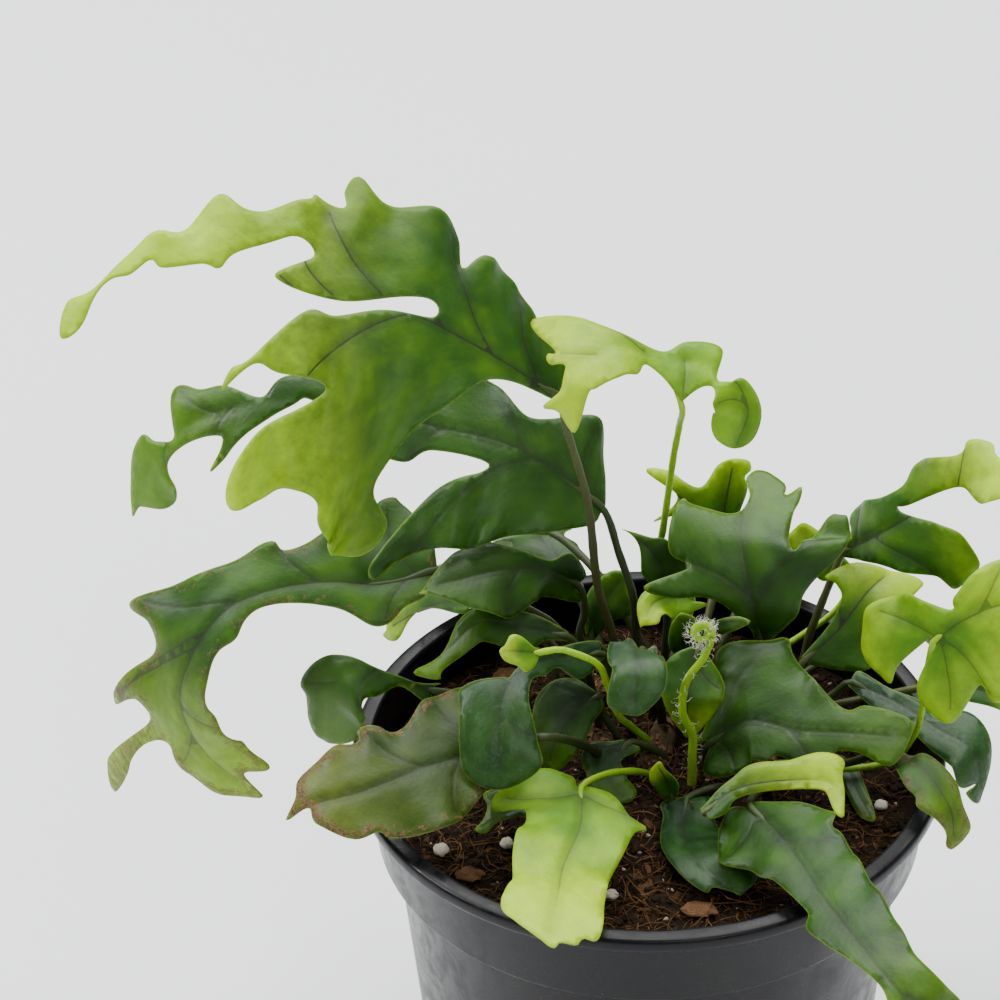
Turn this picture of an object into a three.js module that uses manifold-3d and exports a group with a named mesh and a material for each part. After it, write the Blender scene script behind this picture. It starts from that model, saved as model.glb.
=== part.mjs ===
// A young lobed fern (a kangaroo fern) in a black plastic nursery pot, as one three.js scene graph.
//
// Millimetres, +Z up. The origin is the centre of the pot's base, on the surface that it stands on,
// and the side that is looked at faces -Y. Each frond is one mesh, leaf stalk and blade together,
// because it grew as one piece. The pot, the potting mix, each creeping rootstock and each loose
// chip or grain on the mix is a mesh of its own.

import * as THREE from 'three';
import Module from 'manifold-3d';
import { TessellateModifier } from 'three/addons/modifiers/TessellateModifier.js';
import { mergeVertices } from 'three/addons/utils/BufferGeometryUtils.js';

// ---------------------------------------------------------------------------------------------
// Driving dimensions
// ---------------------------------------------------------------------------------------------

// The pot: a thin-walled injection-moulded pot with a rolled rim and a stacking collar below it.
const potHeight = 105;
const rimRadius = 60;
const rimBand = 3.4;
const rimOverhang = 3;
const rimRound = 0.7;
const collarHeight = 16;
const collarTaper = 1.4;
const shoulder = 3.4;
const baseRadius = 45;
const wall = 1.4;
const floorThickness = 1.6;
const footHeight = 1.4;
const footWidth = 5;
const padRadius = 9;
const drainHoles = 8;
const drainRadius = 4;
const drainCircle = 27;

// The potting mix: how far its edge lies below the rim, and how far its middle rises above that.
const headspace = 11;
const moundHeight = 3;
const moundRadius = 26;

// The plant.
const bladeThickness = 0.6;
const stalkRadius = 0.95;
const rootstockRadius = 3.4;
const plantScale = 1;

// How far a stalk runs down into the mix, and how far it runs on along the midrib of its blade.
const stalkDepth = 5;
const stalkOverlap = 4;

// The gap left between pieces that rest on each other or pass close by.
const clearance = 0.3;

// The layout of the fronds was set out in a pot of this rim radius. In a wider or narrower pot the
// fronds stand further apart or closer together by the same share.
const layoutRimRadius = 60;

// How finely round and curved surfaces are divided.
const roundSegments = 40;
const moundRings = 4;
const bladeDivision = 13;
const outlineSteps = 1;

// Levels and radii that follow from the sizes above.
const floorTop = footHeight + floorThickness;
const mixEdge = potHeight - headspace;
const collarRadius = rimRadius - rimOverhang;
const collarTop = potHeight - rimBand;
const collarBottom = collarTop - collarHeight;
const bodyTopRadius = collarRadius - collarTaper - shoulder;

// Finishes.
const blackPlastic = { color: 0x1b1c1e, roughness: 0.45, metalness: 0 };
const pottingMix = { color: 0x5a3c28, roughness: 0.95, metalness: 0 };
const rootstockBrown = { color: 0x6a5438, roughness: 0.85, metalness: 0 };
const barkBrown = { color: 0x6f4a2c, roughness: 0.9, metalness: 0 };
const perliteWhite = { color: 0xe6e2d8, roughness: 0.9, metalness: 0 };
const leafTones = {
  dark: { color: 0x24451d, roughness: 0.35, metalness: 0 },
  mid: { color: 0x3f6f22, roughness: 0.4, metalness: 0 },
  lime: { color: 0x9cab2f, roughness: 0.45, metalness: 0 },
};

// ---------------------------------------------------------------------------------------------
// Layout of the plant (mm, x and y from the pot's axis, z up from the edge of the mix)
// ---------------------------------------------------------------------------------------------

// Each frond has a stalk, from the rootstock up, and a midrib, from the base of the blade to its
// tip. The upper face looks along `face` at the base and then at the tip, and the blade curls down
// about the midrib by `curl` at the base and tip. `right` and `left` are the lobes and bays of
// the flat margins from base to tip, each as [along the midrib, out from it].
const fronds = [
  {
    name: 'frond_tall_left',
    tone: 'mid',
    stalk: [[-5, 17, 5], [-7, 16, 25], [-10, 14, 39], [-12, 12, 62], [-16, 10, 81]],
    midrib: [
      [-17, 9, 88], [-32, 6, 101], [-46, 3, 111], [-64, 0, 117], [-82, -3, 120], [-99, -6, 118],
      [-108, -8, 112],
    ],
    face: [[0.45, -0.62, 0.62], [0.1, -0.65, 0.75], [-0.3, -0.6, 0.75]],
    curl: [0.012, 0.012],
    right: [
      [1, 7], [13, 12], [18, 17], [25, 17], [28, 13], [30, 19], [34, 22], [43, 21], [48, 25], [50, 22],
      [50, 18], [55, 20], [57, 18], [67, 15], [72, 18], [78, 11], [84, 11], [94, 4], [100, 5],
    ],
    left: [
      [17, -6], [29, -30], [22, -38], [23, -46], [30, -48], [45, -44], [48, -39], [56, -37], [61, -40],
      [69, -42], [71, -38], [64, -28], [50, -18], [60, -16], [65, -15], [72, -20], [70, -16],
      [66, -14], [56, -4], [50, -4], [41, -1], [31, 1], [33, 4], [49, -1], [62, 2], [55, 7], [59, 10],
      [69, 6], [72, 3], [75, 4], [82, 4], [84, 6], [88, 4], [92, 4], [100, -1],
    ],
  },
  {
    name: 'frond_mid_left',
    tone: 'dark',
    stalk: [[1, 21, 5], [-2, 21, 17], [-3, 22, 31], [-6, 24, 41]],
    midrib: [
      [-9, 25, 51], [-26, 26, 65], [-44, 27, 70], [-63, 28, 75], [-82, 29, 73], [-97, 30, 64],
      [-106, 30, 46],
    ],
    face: [[0.3, -0.7, 0.7], [0.05, -0.6, 0.8], [-0.4, -0.7, 0.6]],
    curl: [0.014, 0.012],
    right: [
      [4, 7], [11, 15], [22, 7], [29, 12], [34, 12], [44, 8], [56, 6], [70, 5], [75, 1], [82, 5],
      [87, 6], [92, 9], [96, 0], [100, 2], [102, 6], [108, 5],
    ],
    left: [
      [2, -6], [20, -21], [34, -24], [40, -28], [43, -33], [44, -29], [37, -13], [28, -7], [28, -5],
      [39, -5], [44, -9], [55, -7], [65, 0], [70, -2], [90, -11], [85, -5], [101, -3], [105, -8],
      [111, -7], [115, -1],
    ],
  },
  {
    name: 'frond_long_left',
    tone: 'mid',
    stalk: [[-12, 15, 5], [-18, 17, 26], [-30, 14, 37]],
    midrib: [
      [-42, 12, 45], [-54, 10, 43], [-63, 8, 45], [-75, 5, 45], [-84, 2, 42], [-91, -1, 33],
      [-94, -3, 23], [-90, -4, 11], [-79, -5, 0],
    ],
    face: [[0.1, -0.5, 0.85], [-0.3, -0.6, 0.7], [-0.75, -0.6, 0.3]],
    curl: [0.01, 0.01],
    right: [
      [0, 8], [4, 17], [8, 18], [28, 8], [32, 10], [40, 9], [46, 11], [57, 20], [57, 13], [62, 10],
      [72, 23], [69, 12], [74, 13], [80, 34], [83, 41], [81, 28], [77, 15], [77, 8], [82, 9], [90, 6],
    ],
    left: [
      [4, -5], [8, -6], [13, -9], [20, -6], [37, -3], [46, -6], [54, -5], [74, -9], [91, -9], [89, -3],
    ],
  },
  {
    name: 'frond_dark_left',
    tone: 'dark',
    stalk: [[-4, 25, 5], [-14, 23, 20], [-13, 23, 27]],
    midrib: [[-14, 22, 34], [-21, 18, 41], [-30, 12, 45], [-38, 7, 46], [-44, 3, 47]],
    face: [[-0.2, -0.8, 0.6], [-0.1, -0.7, 0.75], [-0.5, -0.5, 0.7]],
    curl: [0.03, 0.03],
    right: [[0, 3], [6, 5], [11, 2], [26, 7]],
    left: [[-3, -3], [14, -7], [24, -10], [39, -2]],
  },
  {
    name: 'frond_back_left',
    tone: 'mid',
    stalk: [[-14, 25, 5], [-27, 28, 23]],
    midrib: [[-37, 32, 23], [-46, 37, 18], [-56, 42, 8]],
    face: [[-0.1, -0.5, 0.85], [-0.1, -0.5, 0.85]],
    curl: [0.02, 0.02],
    right: [[5, 3], [12, 3], [21, 3], [26, 2]],
    left: [[2, -3], [16, 0], [23, -4], [28, -1]],
  },
  {
    name: 'frond_over_left_rim',
    tone: 'dark',
    stalk: [[-19, 5, 5], [-34, 3, 19]],
    midrib: [[-43, 1, 23], [-51, 0, 28], [-59, -2, 30], [-64, -2, 25], [-66, -2, 13]],
    face: [[-0.1, -0.6, 0.8], [-0.5, -0.7, 0.5]],
    curl: [0.02, 0.02],
    right: [[-1, 2], [5, 0], [14, 1], [22, 6], [28, 7], [30, 5], [35, 4]],
    left: [[0, -3], [7, -2], [12, -5], [16, -6], [21, -10], [33, -9]],
  },
  {
    name: 'frond_dark_lower_left',
    tone: 'dark',
    stalk: [[-9, 1, 5], [-20, -20, 28]],
    midrib: [
      [-29, -15, 22], [-39, -21, 23], [-47, -27, 24], [-56, -30, 22], [-64, -31, 20], [-70, -31, 16],
    ],
    face: [[-0.1, -0.5, 0.85], [-0.1, -0.5, 0.85]],
    curl: [0.012, 0.016],
    right: [[0, 11], [2, 14], [9, 15], [16, 10], [27, 13], [28, 11], [34, 11], [42, 7], [44, 3]],
    left: [[6, -5], [8, -9], [18, -13], [28, -11], [30, -9], [34, -9], [41, -4], [42, 0]],
  },
  {
    name: 'frond_curled_left',
    tone: 'dark',
    stalk: [[-10, 12, 5], [-13, 12, 22]],
    midrib: [[-16, 10, 30], [-25, 8, 34], [-34, 5, 37], [-39, 2, 34], [-46, 0, 28]],
    face: [[0, -0.6, 0.8], [-0.4, -0.6, 0.6]],
    curl: [0.02, 0.03],
    right: [[9, 3], [21, 3], [30, 0], [36, 1]],
    left: [[5, -2], [10, -5], [30, -3], [33, -4]],
  },
  {
    name: 'frond_front_glossy',
    tone: 'dark',
    stalk: [[-3, 9, 5], [-7, 9, 20]],
    midrib: [[-9, 7, 28], [-15, 1, 32], [-24, -7, 35], [-28, -15, 34], [-29, -22, 29], [-29, -27, 21]],
    face: [[0.1, -0.55, 0.8], [-0.2, -0.8, 0.6], [0, -0.95, 0.25]],
    curl: [0.02, 0.03],
    right: [[1, 3], [24, 1], [27, 2], [31, 9], [35, 8], [46, 7]],
    left: [[9, -5], [14, -2], [18, -3], [24, -3], [40, -8], [46, -8]],
  },
  {
    name: 'frond_front_lime',
    tone: 'lime',
    stalk: [[1, -4, 5], [-8, -14, 14]],
    midrib: [[-13, -19, 15], [-13, -31, 15], [-16, -43, 15], [-17, -56, 17], [-18, -67, 17]],
    face: [[0, -0.5, 0.85], [0, -0.75, 0.65]],
    curl: [0.012, 0.012],
    right: [[-3, 2], [-5, 8], [1, 18], [6, 16], [8, 11], [19, 11], [30, 9], [40, 10]],
    left: [[2, -5], [8, -9], [10, -13], [13, -10], [33, -9], [45, -9], [46, -6], [48, -5], [48, -2]],
  },
  {
    name: 'leaf_under_lime',
    tone: 'dark',
    stalk: [[-10, -4, 5], [-15, -7, 4]],
    midrib: [[-21, -12, 6], [-26, -15, 6], [-34, -19, 4]],
    face: [[0, -0.4, 0.9], [0, -0.4, 0.9]],
    curl: [0.02, 0.02],
    right: [[3, 4], [10, 6], [11, 3], [13, 1]],
    left: [[1, -4], [6, -2], [11, -1], [14, -2]],
  },
  {
    name: 'young_leaf',
    tone: 'lime',
    stalk: [
      [-1, 6, 5], [0, 5, 7], [-3, 2, 13], [-6, -6, 23], [-8, -8, 32], [-10, -12, 40], [-14, -13, 43],
      [-17, -13, 44],
    ],
    midrib: [[-21, -14, 44], [-24, -15, 45], [-28, -16, 46]],
    face: [[0, -0.75, 0.65], [0, -0.75, 0.65]],
    curl: [0.03, 0.03],
    right: [[1, 1], [4, 3], [6, 3], [7, 1]],
    left: [[1, -3], [3, -4], [4, -3], [7, -2]],
  },
  {
    name: 'small_round_dark',
    tone: 'dark',
    stalk: [[3, 14, 5], [1, 5, 25]],
    midrib: [[-1, 1, 34], [-2, -8, 40], [-2, -15, 40], [-3, -20, 34]],
    face: [[0, -0.5, 0.85], [0, -0.95, 0.3]],
    curl: [0.04, 0.04],
    right: [[-22, 5], [10, 6], [17, 5], [25, 5]],
    left: [[-16, -1], [7, -4], [19, -6], [25, -3]],
  },
  {
    name: 'rounded_mid_green',
    tone: 'mid',
    stalk: [[7, 12, 5], [11, 6, 27]],
    midrib: [[10, 4, 32], [9, 1, 28], [8, -3, 24], [8, -1, 13]],
    face: [[0, -0.7, 0.7], [0, -0.95, 0.3]],
    curl: [0.03, 0.03],
    right: [[2, 4], [5, 6], [9, 6], [21, 1]],
    left: [[5, -6], [8, -7], [14, -6], [21, -2]],
  },
  {
    name: 'small_round_back',
    tone: 'dark',
    stalk: [[8, 19, 5], [9, 15, 17]],
    midrib: [[9, 13, 22], [8, 10, 29], [7, 9, 36]],
    face: [[0, -0.9, 0.4], [0, -0.9, 0.4]],
    curl: [0.03, 0.03],
    right: [[3, 1], [7, 3], [12, 3], [14, 2]],
    left: [[1, -2], [6, -4], [12, -3], [15, -1]],
  },
  {
    name: 'small_oval_back',
    tone: 'dark',
    stalk: [[14, 16, 5], [11, 16, 24]],
    midrib: [[12, 14, 29], [16, 11, 33], [20, 10, 34]],
    face: [[0, -0.8, 0.6], [0, -0.8, 0.6]],
    curl: [0.03, 0.03],
    right: [[2, 2], [7, 2], [10, 1]],
    left: [[2, -1], [6, -1], [9, -1]],
  },
  {
    name: 'frond_star',
    tone: 'dark',
    stalk: [[17, 20, 5], [22, 18, 12]],
    midrib: [[23, 17, 23], [21, 16, 35], [19, 22, 45], [20, 32, 47], [23, 42, 49]],
    face: [[-0.1, -1, 0.15], [0, -0.8, 0.5], [0, -0.25, 1]],
    curl: [0.012, -0.015],
    right: [[7, 8], [12, 11], [19, 20], [27, 22], [36, 19], [21, 10], [42, 10], [40, 7], [43, 6]],
    left: [
      [6, -2], [14, -8], [16, -16], [19, -21], [21, -11], [24, -15], [32, -13], [31, -11], [31, -4],
      [33, -1], [38, 0], [42, -2],
    ],
  },
  {
    name: 'frond_curly_back',
    tone: 'mid',
    stalk: [[10, 32, 5], [14, 44, 17]],
    midrib: [[15, 50, 23], [16, 53, 30], [17, 55, 36], [18, 56, 42]],
    face: [[0, -0.9, 0.4], [0, -0.9, 0.4]],
    curl: [0.02, 0.02],
    right: [[13, 4], [17, 3], [19, 4], [21, 3]],
    left: [[5, -4], [6, -10], [4, -15], [8, -11], [11, -11], [14, -18], [15, -13], [13, -6], [19, -3]],
  },
  {
    name: 'frond_behind_star',
    tone: 'dark',
    stalk: [[3, 25, 5], [4, 25, 23]],
    midrib: [[4, 24, 32], [2, 25, 38], [-1, 26, 42], [-5, 26, 45]],
    face: [[0, -0.9, 0.4], [0, -0.9, 0.4]],
    curl: [0.03, 0.03],
    right: [[3, 5], [9, 4], [11, 2], [13, 1]],
    left: [[2, -3], [6, -4], [12, -1], [15, 0]],
  },
  {
    name: 'leaf_bright_under_star',
    tone: 'lime',
    stalk: [[9, 23, 5], [8, 23, 22]],
    midrib: [[9, 20, 33], [5, 20, 33], [1, 16, 34], [-1, 12, 32]],
    face: [[0, -0.6, 0.8], [-0.3, -0.8, 0.4]],
    curl: [0.03, 0.03],
    right: [[1, 2], [9, 3], [13, 2], [16, 0]],
    left: [[-3, -2], [6, -5], [12, -3], [14, -3]],
  },
  {
    name: 'frond_top_young',
    tone: 'lime',
    stalk: [[8, 29, 5], [2, 31, 34], [3, 29, 43], [5, 23, 65], [6, 17, 76]],
    midrib: [
      [17, 3, 81], [19, 6, 87], [16, 8, 93], [11, 9, 95], [2, 8, 98], [-7, 4, 102], [-15, -2, 99],
      [-15, -6, 91],
    ],
    face: [[0.6, -0.75, 0.3], [0.3, -0.5, 0.8], [0, -0.4, 0.9], [-0.2, -0.5, 0.85], [-0.4, -0.75, 0.5]],
    curl: [0.02, 0.02],
    joint: [24, -9],
    right: [
      [18, -4], [13, -7], [2, -7], [-1, -1], [2, 3], [12, 2], [14, -1], [17, -2], [18, 5], [24, 4],
      [29, 1], [39, 5], [46, 17], [48, 6], [49, 7], [50, 5], [49, 2], [53, 1], [56, 5], [57, 2],
    ],
    left: [[32, -3], [36, -6], [48, -6], [60, -2]],
  },
  {
    name: 'frond_right_high',
    tone: 'mid',
    stalk: [[21, 24, 5], [31, 29, 6], [34, 31, 16], [38, 33, 28]],
    midrib: [[40, 34, 34], [48, 21, 49], [56, 17, 58], [64, 8, 70], [71, 1, 76]],
    face: [[-0.4, -0.7, 0.6], [-0.1, -0.7, 0.7], [0.4, -0.6, 0.7]],
    curl: [0.02, 0.02],
    right: [
      [16, 6], [26, 13], [29, 17], [38, 15], [38, 8], [28, 0], [26, -3], [29, -2], [44, 0], [51, 5],
      [61, 5],
    ],
    left: [[5, -3], [6, -6], [12, -8], [28, -6], [34, -9], [46, -6], [49, -8], [53, -7], [55, -4]],
  },
  {
    name: 'frond_light_right',
    tone: 'mid',
    stalk: [[21, 15, 5], [29, 17, 12]],
    midrib: [[32, 18, 18], [39, 22, 23], [45, 27, 29], [50, 33, 30]],
    face: [[-0.2, -0.8, 0.6], [-0.2, -0.8, 0.6]],
    curl: [0.012, 0.012],
    right: [[8, 10], [11, 8], [27, 7], [31, 6]],
    left: [[14, -3], [17, -6], [17, -9], [23, -6]],
  },
  {
    name: 'frond_lime_right',
    tone: 'lime',
    stalk: [[25, 0, 5], [41, -2, 6], [49, -2, 8], [53, -4, 16], [54, -9, 28]],
    midrib: [[55, -11, 45], [61, -13, 52], [69, -15, 57], [78, -17, 56]],
    face: [[0, -0.65, 0.75], [0.2, -0.7, 0.6]],
    curl: [0.02, 0.02],
    right: [[-8, 5], [-10, 10], [-6, 15], [3, 12], [4, 17], [27, 15], [27, 8], [30, 4]],
    left: [
      [-10, 0], [-14, 2], [-16, -7], [-10, -13], [-1, -11], [7, -3], [9, -5], [19, -9], [21, -5],
      [27, -4],
    ],
  },
  {
    name: 'frond_dark_centre_right',
    tone: 'dark',
    stalk: [[12, 3, 5]],
    midrib: [[12, -2, 12], [20, -3, 19], [30, -6, 19], [40, -8, 20], [51, -12, 22]],
    face: [[-0.1, -0.5, 0.85], [0, -0.6, 0.8]],
    curl: [0.012, 0.014],
    right: [[-3, 5], [4, 9], [16, 8], [19, 6], [25, 8], [28, 7], [29, 4], [34, 4], [41, 6]],
    left: [
      [-2, -2], [6, -7], [8, -17], [12, -17], [14, -19], [16, -15], [23, -11], [30, -5], [34, -6],
      [43, -4],
    ],
  },
  {
    name: 'frond_bright_narrow',
    tone: 'mid',
    stalk: [[16, -10, 5]],
    midrib: [[11, -28, 16], [17, -21, 16], [27, -18, 16], [36, -19, 16], [38, -26, 14]],
    face: [[0, -0.5, 0.85], [0, -0.5, 0.85]],
    curl: [0.03, 0.03],
    right: [[0, 2], [4, 3], [9, 2], [32, 2]],
    left: [[9, -2], [14, -4], [21, -4], [28, -6], [30, -2]],
  },
  {
    name: 'frond_front_right',
    tone: 'dark',
    stalk: [[24, -8, 5]],
    midrib: [
      [20, -22, 13], [27, -38, 16], [32, -52, 17], [37, -64, 18], [42, -74, 18], [47, -80, 15],
      [51, -83, 6],
    ],
    face: [[-0.1, -0.5, 0.85], [0, -0.6, 0.8], [0.3, -0.75, 0.6]],
    curl: [0.015, 0.02],
    right: [[-2, 4], [5, 11], [11, 12], [16, 9], [22, 8], [25, 6], [36, 4], [41, 6], [59, 2], [68, 5]],
    left: [[14, -11], [19, -9], [23, -10], [44, -9], [62, -7], [71, -10], [76, -9], [78, -4]],
  },
  {
    name: 'frond_low_front',
    tone: 'dark',
    stalk: [[16, -7, 5]],
    midrib: [[8, -9, 4], [7, -19, 4], [10, -32, 7], [16, -38, 5]],
    face: [[0, -0.4, 0.9], [0, -0.4, 0.9]],
    curl: [0.02, 0.02],
    right: [[3, 5], [7, 4], [16, 5], [29, 4], [30, 2]],
    left: [[-2, -4], [19, -9], [33, -7], [35, -1]],
  },
  {
    name: 'frond_spotted_right',
    tone: 'dark',
    stalk: [[24, -5, 5], [41, -6, 11]],
    midrib: [[48, -8, 16], [54, -17, 18], [59, -24, 14], [60, -27, 7]],
    face: [[0.1, -0.5, 0.85], [0.5, -0.7, 0.4]],
    curl: [0.02, 0.02],
    right: [[11, 5], [15, 5], [18, 6], [25, 2], [28, 2]],
    left: [[6, -1], [8, -3], [16, -4], [21, -3], [26, -4]],
  },
  {
    name: 'frond_bluish_right',
    tone: 'dark',
    stalk: [[23, 9, 5], [38, 11, 15]],
    midrib: [[41, 10, 19], [50, 6, 17], [58, 0, 15], [65, -5, 13], [67, -8, 4]],
    face: [[0.1, -0.5, 0.85], [0.6, -0.6, 0.4]],
    curl: [0.02, 0.02],
    right: [[9, 4], [15, 2], [18, 4], [34, 6], [36, 1], [37, 4]],
    left: [[1, -3], [8, -2], [14, -3], [19, -2], [24, -7]],
  },
  {
    name: 'bud_leaf',
    tone: 'mid',
    stalk: [[3, -7, 5]],
    midrib: [[5, -13, 7], [4, -13, 11], [2, -14, 16]],
    face: [[0, -0.8, 0.5], [0, -0.8, 0.5]],
    curl: [0.05, 0.05],
    right: [[3, 2], [7, 1], [10, 1]],
    left: [[1, -2], [6, -3], [9, -2]],
  },
  {
    name: 'leaf_in_pot_right',
    tone: 'dark',
    stalk: [[27, 3, 5]],
    midrib: [[40, 2, 5], [42, -5, 3], [45, -13, 2]],
    face: [[0, -0.7, 0.7], [0, -0.7, 0.7]],
    curl: [0.03, 0.03],
    right: [[3, 2], [7, 2], [14, 2]],
    left: [[3, -2], [9, -2], [15, -1]],
  },
  {
    name: 'leaf_in_pot_left',
    tone: 'dark',
    stalk: [[-4, 4, 5], [-9, 5, 14]],
    midrib: [[-10, 5, 19], [-15, 2, 17], [-19, -3, 12], [-20, -5, 8]],
    face: [[0, -0.7, 0.7], [0, -0.7, 0.7]],
    curl: [0.02, 0.02],
    right: [[2, 5], [6, 8], [10, 7], [16, 3]],
    left: [[1, -3], [7, -5], [13, -5], [18, -3]],
  },
  {
    name: 'leaf_in_pot_middle',
    tone: 'dark',
    stalk: [[3, 3, 5]],
    midrib: [[-4, 0, 11], [-7, -4, 8], [-7, -8, 6], [-4, -10, 4]],
    face: [[0, -0.6, 0.8], [0, -0.6, 0.8]],
    curl: [0.02, 0.02],
    right: [[2, 3], [5, 7], [8, 5], [11, 4]],
    left: [[0, -3], [4, -1], [7, -3], [14, -3]],
  },
  {
    name: 'leaf_behind_stems',
    tone: 'dark',
    stalk: [[-1, 27, 5]],
    midrib: [[-12, 27, 17], [-10, 28, 24], [-7, 29, 28], [-5, 30, 31]],
    face: [[0, -0.8, 0.6], [0, -0.8, 0.6]],
    curl: [0.03, 0.03],
    right: [[4, 3], [10, 6], [12, 5], [14, 2]],
    left: [[3, -2], [6, -3], [10, -4], [15, -3]],
  },
  {
    name: 'frond_far_right',
    tone: 'mid',
    stalk: [[24, 12, 5], [52, 12, 15]],
    midrib: [[61, 13, 16], [70, 13, 14], [80, 12, 9]],
    face: [[0.2, -0.5, 0.85], [0.2, -0.5, 0.85]],
    curl: [0.02, 0.02],
    right: [[4, 3], [13, 3], [19, 3]],
    left: [[3, -3], [10, -4], [17, -4]],
  },
  {
    name: 'frond_back_stem',
    tone: 'dark',
    stalk: [[2, 30, 5], [-9, 38, 23], [-15, 44, 27]],
    midrib: [[-20, 48, 29], [-27, 52, 30], [-36, 56, 26]],
    face: [[-0.2, -0.4, 0.9], [-0.2, -0.4, 0.9]],
    curl: [0.02, 0.02],
    right: [[4, 1], [11, 2], [17, 2]],
    left: [[1, -1], [8, -4], [15, -3]],
  },
  {
    name: 'leaf_lime_behind',
    tone: 'lime',
    stalk: [[16, 28, 5], [30, 35, 10], [40, 38, 17]],
    midrib: [[42, 38, 23], [37, 39, 29], [31, 38, 37]],
    face: [[0, -0.9, 0.5], [0, -0.9, 0.5]],
    curl: [0.02, 0.02],
    right: [[1, 3], [7, 3], [13, 3], [18, 2]],
    left: [[3, -2], [5, -4], [13, -4], [18, -3]],
  },
  {
    name: 'frond_back_a',
    tone: 'dark',
    stalk: [[-8, 29, 5], [-12, 36, 14]],
    midrib: [[-16, 42, 20], [-23, 54, 24], [-29, 65, 17], [-34, 74, 3]],
    face: [[0, -0.1, 1], [0, 0.4, 0.9]],
    curl: [0.02, 0.02],
    right: [[8, 6], [13, 5], [18, 9], [24, 6], [30, 7], [36, 3]],
    left: [[12, -9], [17, -6], [23, -8], [29, -5]],
  },
  {
    name: 'frond_back_b',
    tone: 'dark',
    stalk: [[14, 32, 5], [17, 35, 13]],
    midrib: [[20, 41, 18], [26, 53, 22], [32, 65, 14], [36, 73, 1]],
    face: [[0, -0.1, 1], [0, 0.4, 0.9]],
    curl: [0.02, 0.02],
    right: [[8, 6], [13, 5], [18, 9], [24, 6], [30, 7], [36, 3]],
    left: [[12, -9], [17, -6], [23, -8], [29, -5]],
  },
  {
    name: 'frond_back_c',
    tone: 'dark',
    stalk: [[5, 33, 5], [7, 40, 11]],
    midrib: [[8, 46, 14], [8, 57, 15], [7, 68, 8], [6, 76, -4]],
    face: [[0, -0.1, 1], [0, 0.4, 0.9]],
    curl: [0.02, 0.02],
    right: [[8, 6], [13, 5], [18, 9], [24, 6], [30, 7]],
    left: [[12, -9], [17, -6], [23, -8], [29, -5], [35, -4]],
  },
  {
    name: 'frond_back_d',
    tone: 'dark',
    stalk: [[-19, 24.9, 5], [-21, 30, 13]],
    midrib: [[-26, 36, 18], [-37, 47, 20], [-48, 57, 13], [-56, 66, -2]],
    face: [[0, -0.1, 1], [0, 0.4, 0.9]],
    curl: [0.02, 0.02],
    right: [[8, 6], [13, 5], [18, 9], [24, 6], [30, 7], [36, 3]],
    left: [[12, -9], [17, -6], [23, -8], [29, -5]],
  },
  {
    name: 'frond_back_e',
    tone: 'dark',
    stalk: [[27, 21, 5], [33, 26, 9]],
    midrib: [[38, 29, 11], [48, 38, 15], [57, 46, 8], [64, 53, -6]],
    face: [[0, -0.1, 1], [0, 0.4, 0.9]],
    curl: [0.02, 0.02],
    right: [[8, 6], [13, 5], [18, 9], [24, 6], [30, 7], [36, 3]],
    left: [[12, -9], [17, -6], [23, -8], [29, -5]],
  },
];

// The crozier is a frond that hasn't opened: a stalk that ends in a tight coil.
const crozier = {
  radius: 1,
  stalk: [[9, -3, -2], [9, -3, 4], [9, -4, 11], [9, -4, 16], [7, -5, 22], [7, -5, 27], [8, -6, 32], [11, -6, 37],
    [12, -6, 41]],
  coil: [10.5, -6, 43],
  coilRadius: 2.6,
};

// The creeping rootstocks that the fronds grow from, lying half sunk in the mix.
const rootstocks = {
  rootstock_back: [[-18, 24, 2], [-9, 27, 2.5], [1, 27, 2.5], [10, 29, 2.5], [18, 27, 2], [26, 23, 1.5]],
  rootstock_left: [[-14, 16, 2], [-10, 10, 2.5], [-10, 2, 2.5], [-9, -5, 2]],
  rootstock_middle: [[4, 18, 2], [3, 11, 2.5], [1, 4, 2.5], [2, -5, 2]],
  rootstock_right: [[19, 16, 2], [23, 9, 2.5], [24, 1, 2.5], [21, -6, 2.5], [15, -9, 2]],
};

// Loose pieces on the mix: composted bark and puffed perlite.
const barkChips = [
  { name: 'bark_chip_front', at: [10, -40], size: [9, 5, 2.4], turn: 20 },
  { name: 'bark_chip_left', at: [-35, -30], size: [8, 3.4, 2.2], turn: 150 },
  { name: 'bark_chip_right', at: [36, -26], size: [7, 4, 2.2], turn: 75 },
  { name: 'bark_chip_back', at: [-30, 34], size: [10, 5, 2.6], turn: 40 },
];
const perliteGrains = [
  { name: 'perlite_grain_front', at: [-7, -36], size: [3.4, 2.8, 2.4], turn: 10 },
  { name: 'perlite_grain_left', at: [-41, -23], size: [4.6, 3.4, 2.8], turn: 60 },
  { name: 'perlite_grain_right', at: [47, -8], size: [3.4, 3, 2.4], turn: 35 },
  { name: 'perlite_grain_middle', at: [-28, -21], size: [3.8, 3, 2.4], turn: 85 },
];

// ---------------------------------------------------------------------------------------------
// Solids
// ---------------------------------------------------------------------------------------------

const wasm = await Module();
wasm.setup();

// A three.js geometry as a manifold solid.
function toSolid(geometry) {
  const plain = geometry.clone();
  plain.deleteAttribute('normal');
  plain.deleteAttribute('uv');
  const merged = mergeVertices(plain, 1e-4);
  return new wasm.Manifold(new wasm.Mesh({
    numProp: 3,
    vertProperties: new Float32Array(merged.getAttribute('position').array),
    triVerts: new Uint32Array(merged.index.array),
  }));
}

// A manifold solid as a three.js geometry.
function toGeometry(solid) {
  const mesh = solid.getMesh();
  const geometry = new THREE.BufferGeometry();
  const positions = new Float32Array(mesh.vertProperties);
  geometry.setAttribute('position', new THREE.BufferAttribute(positions, 3));
  geometry.setIndex(new THREE.BufferAttribute(new Uint32Array(mesh.triVerts), 1));
  return geometry;
}

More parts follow.
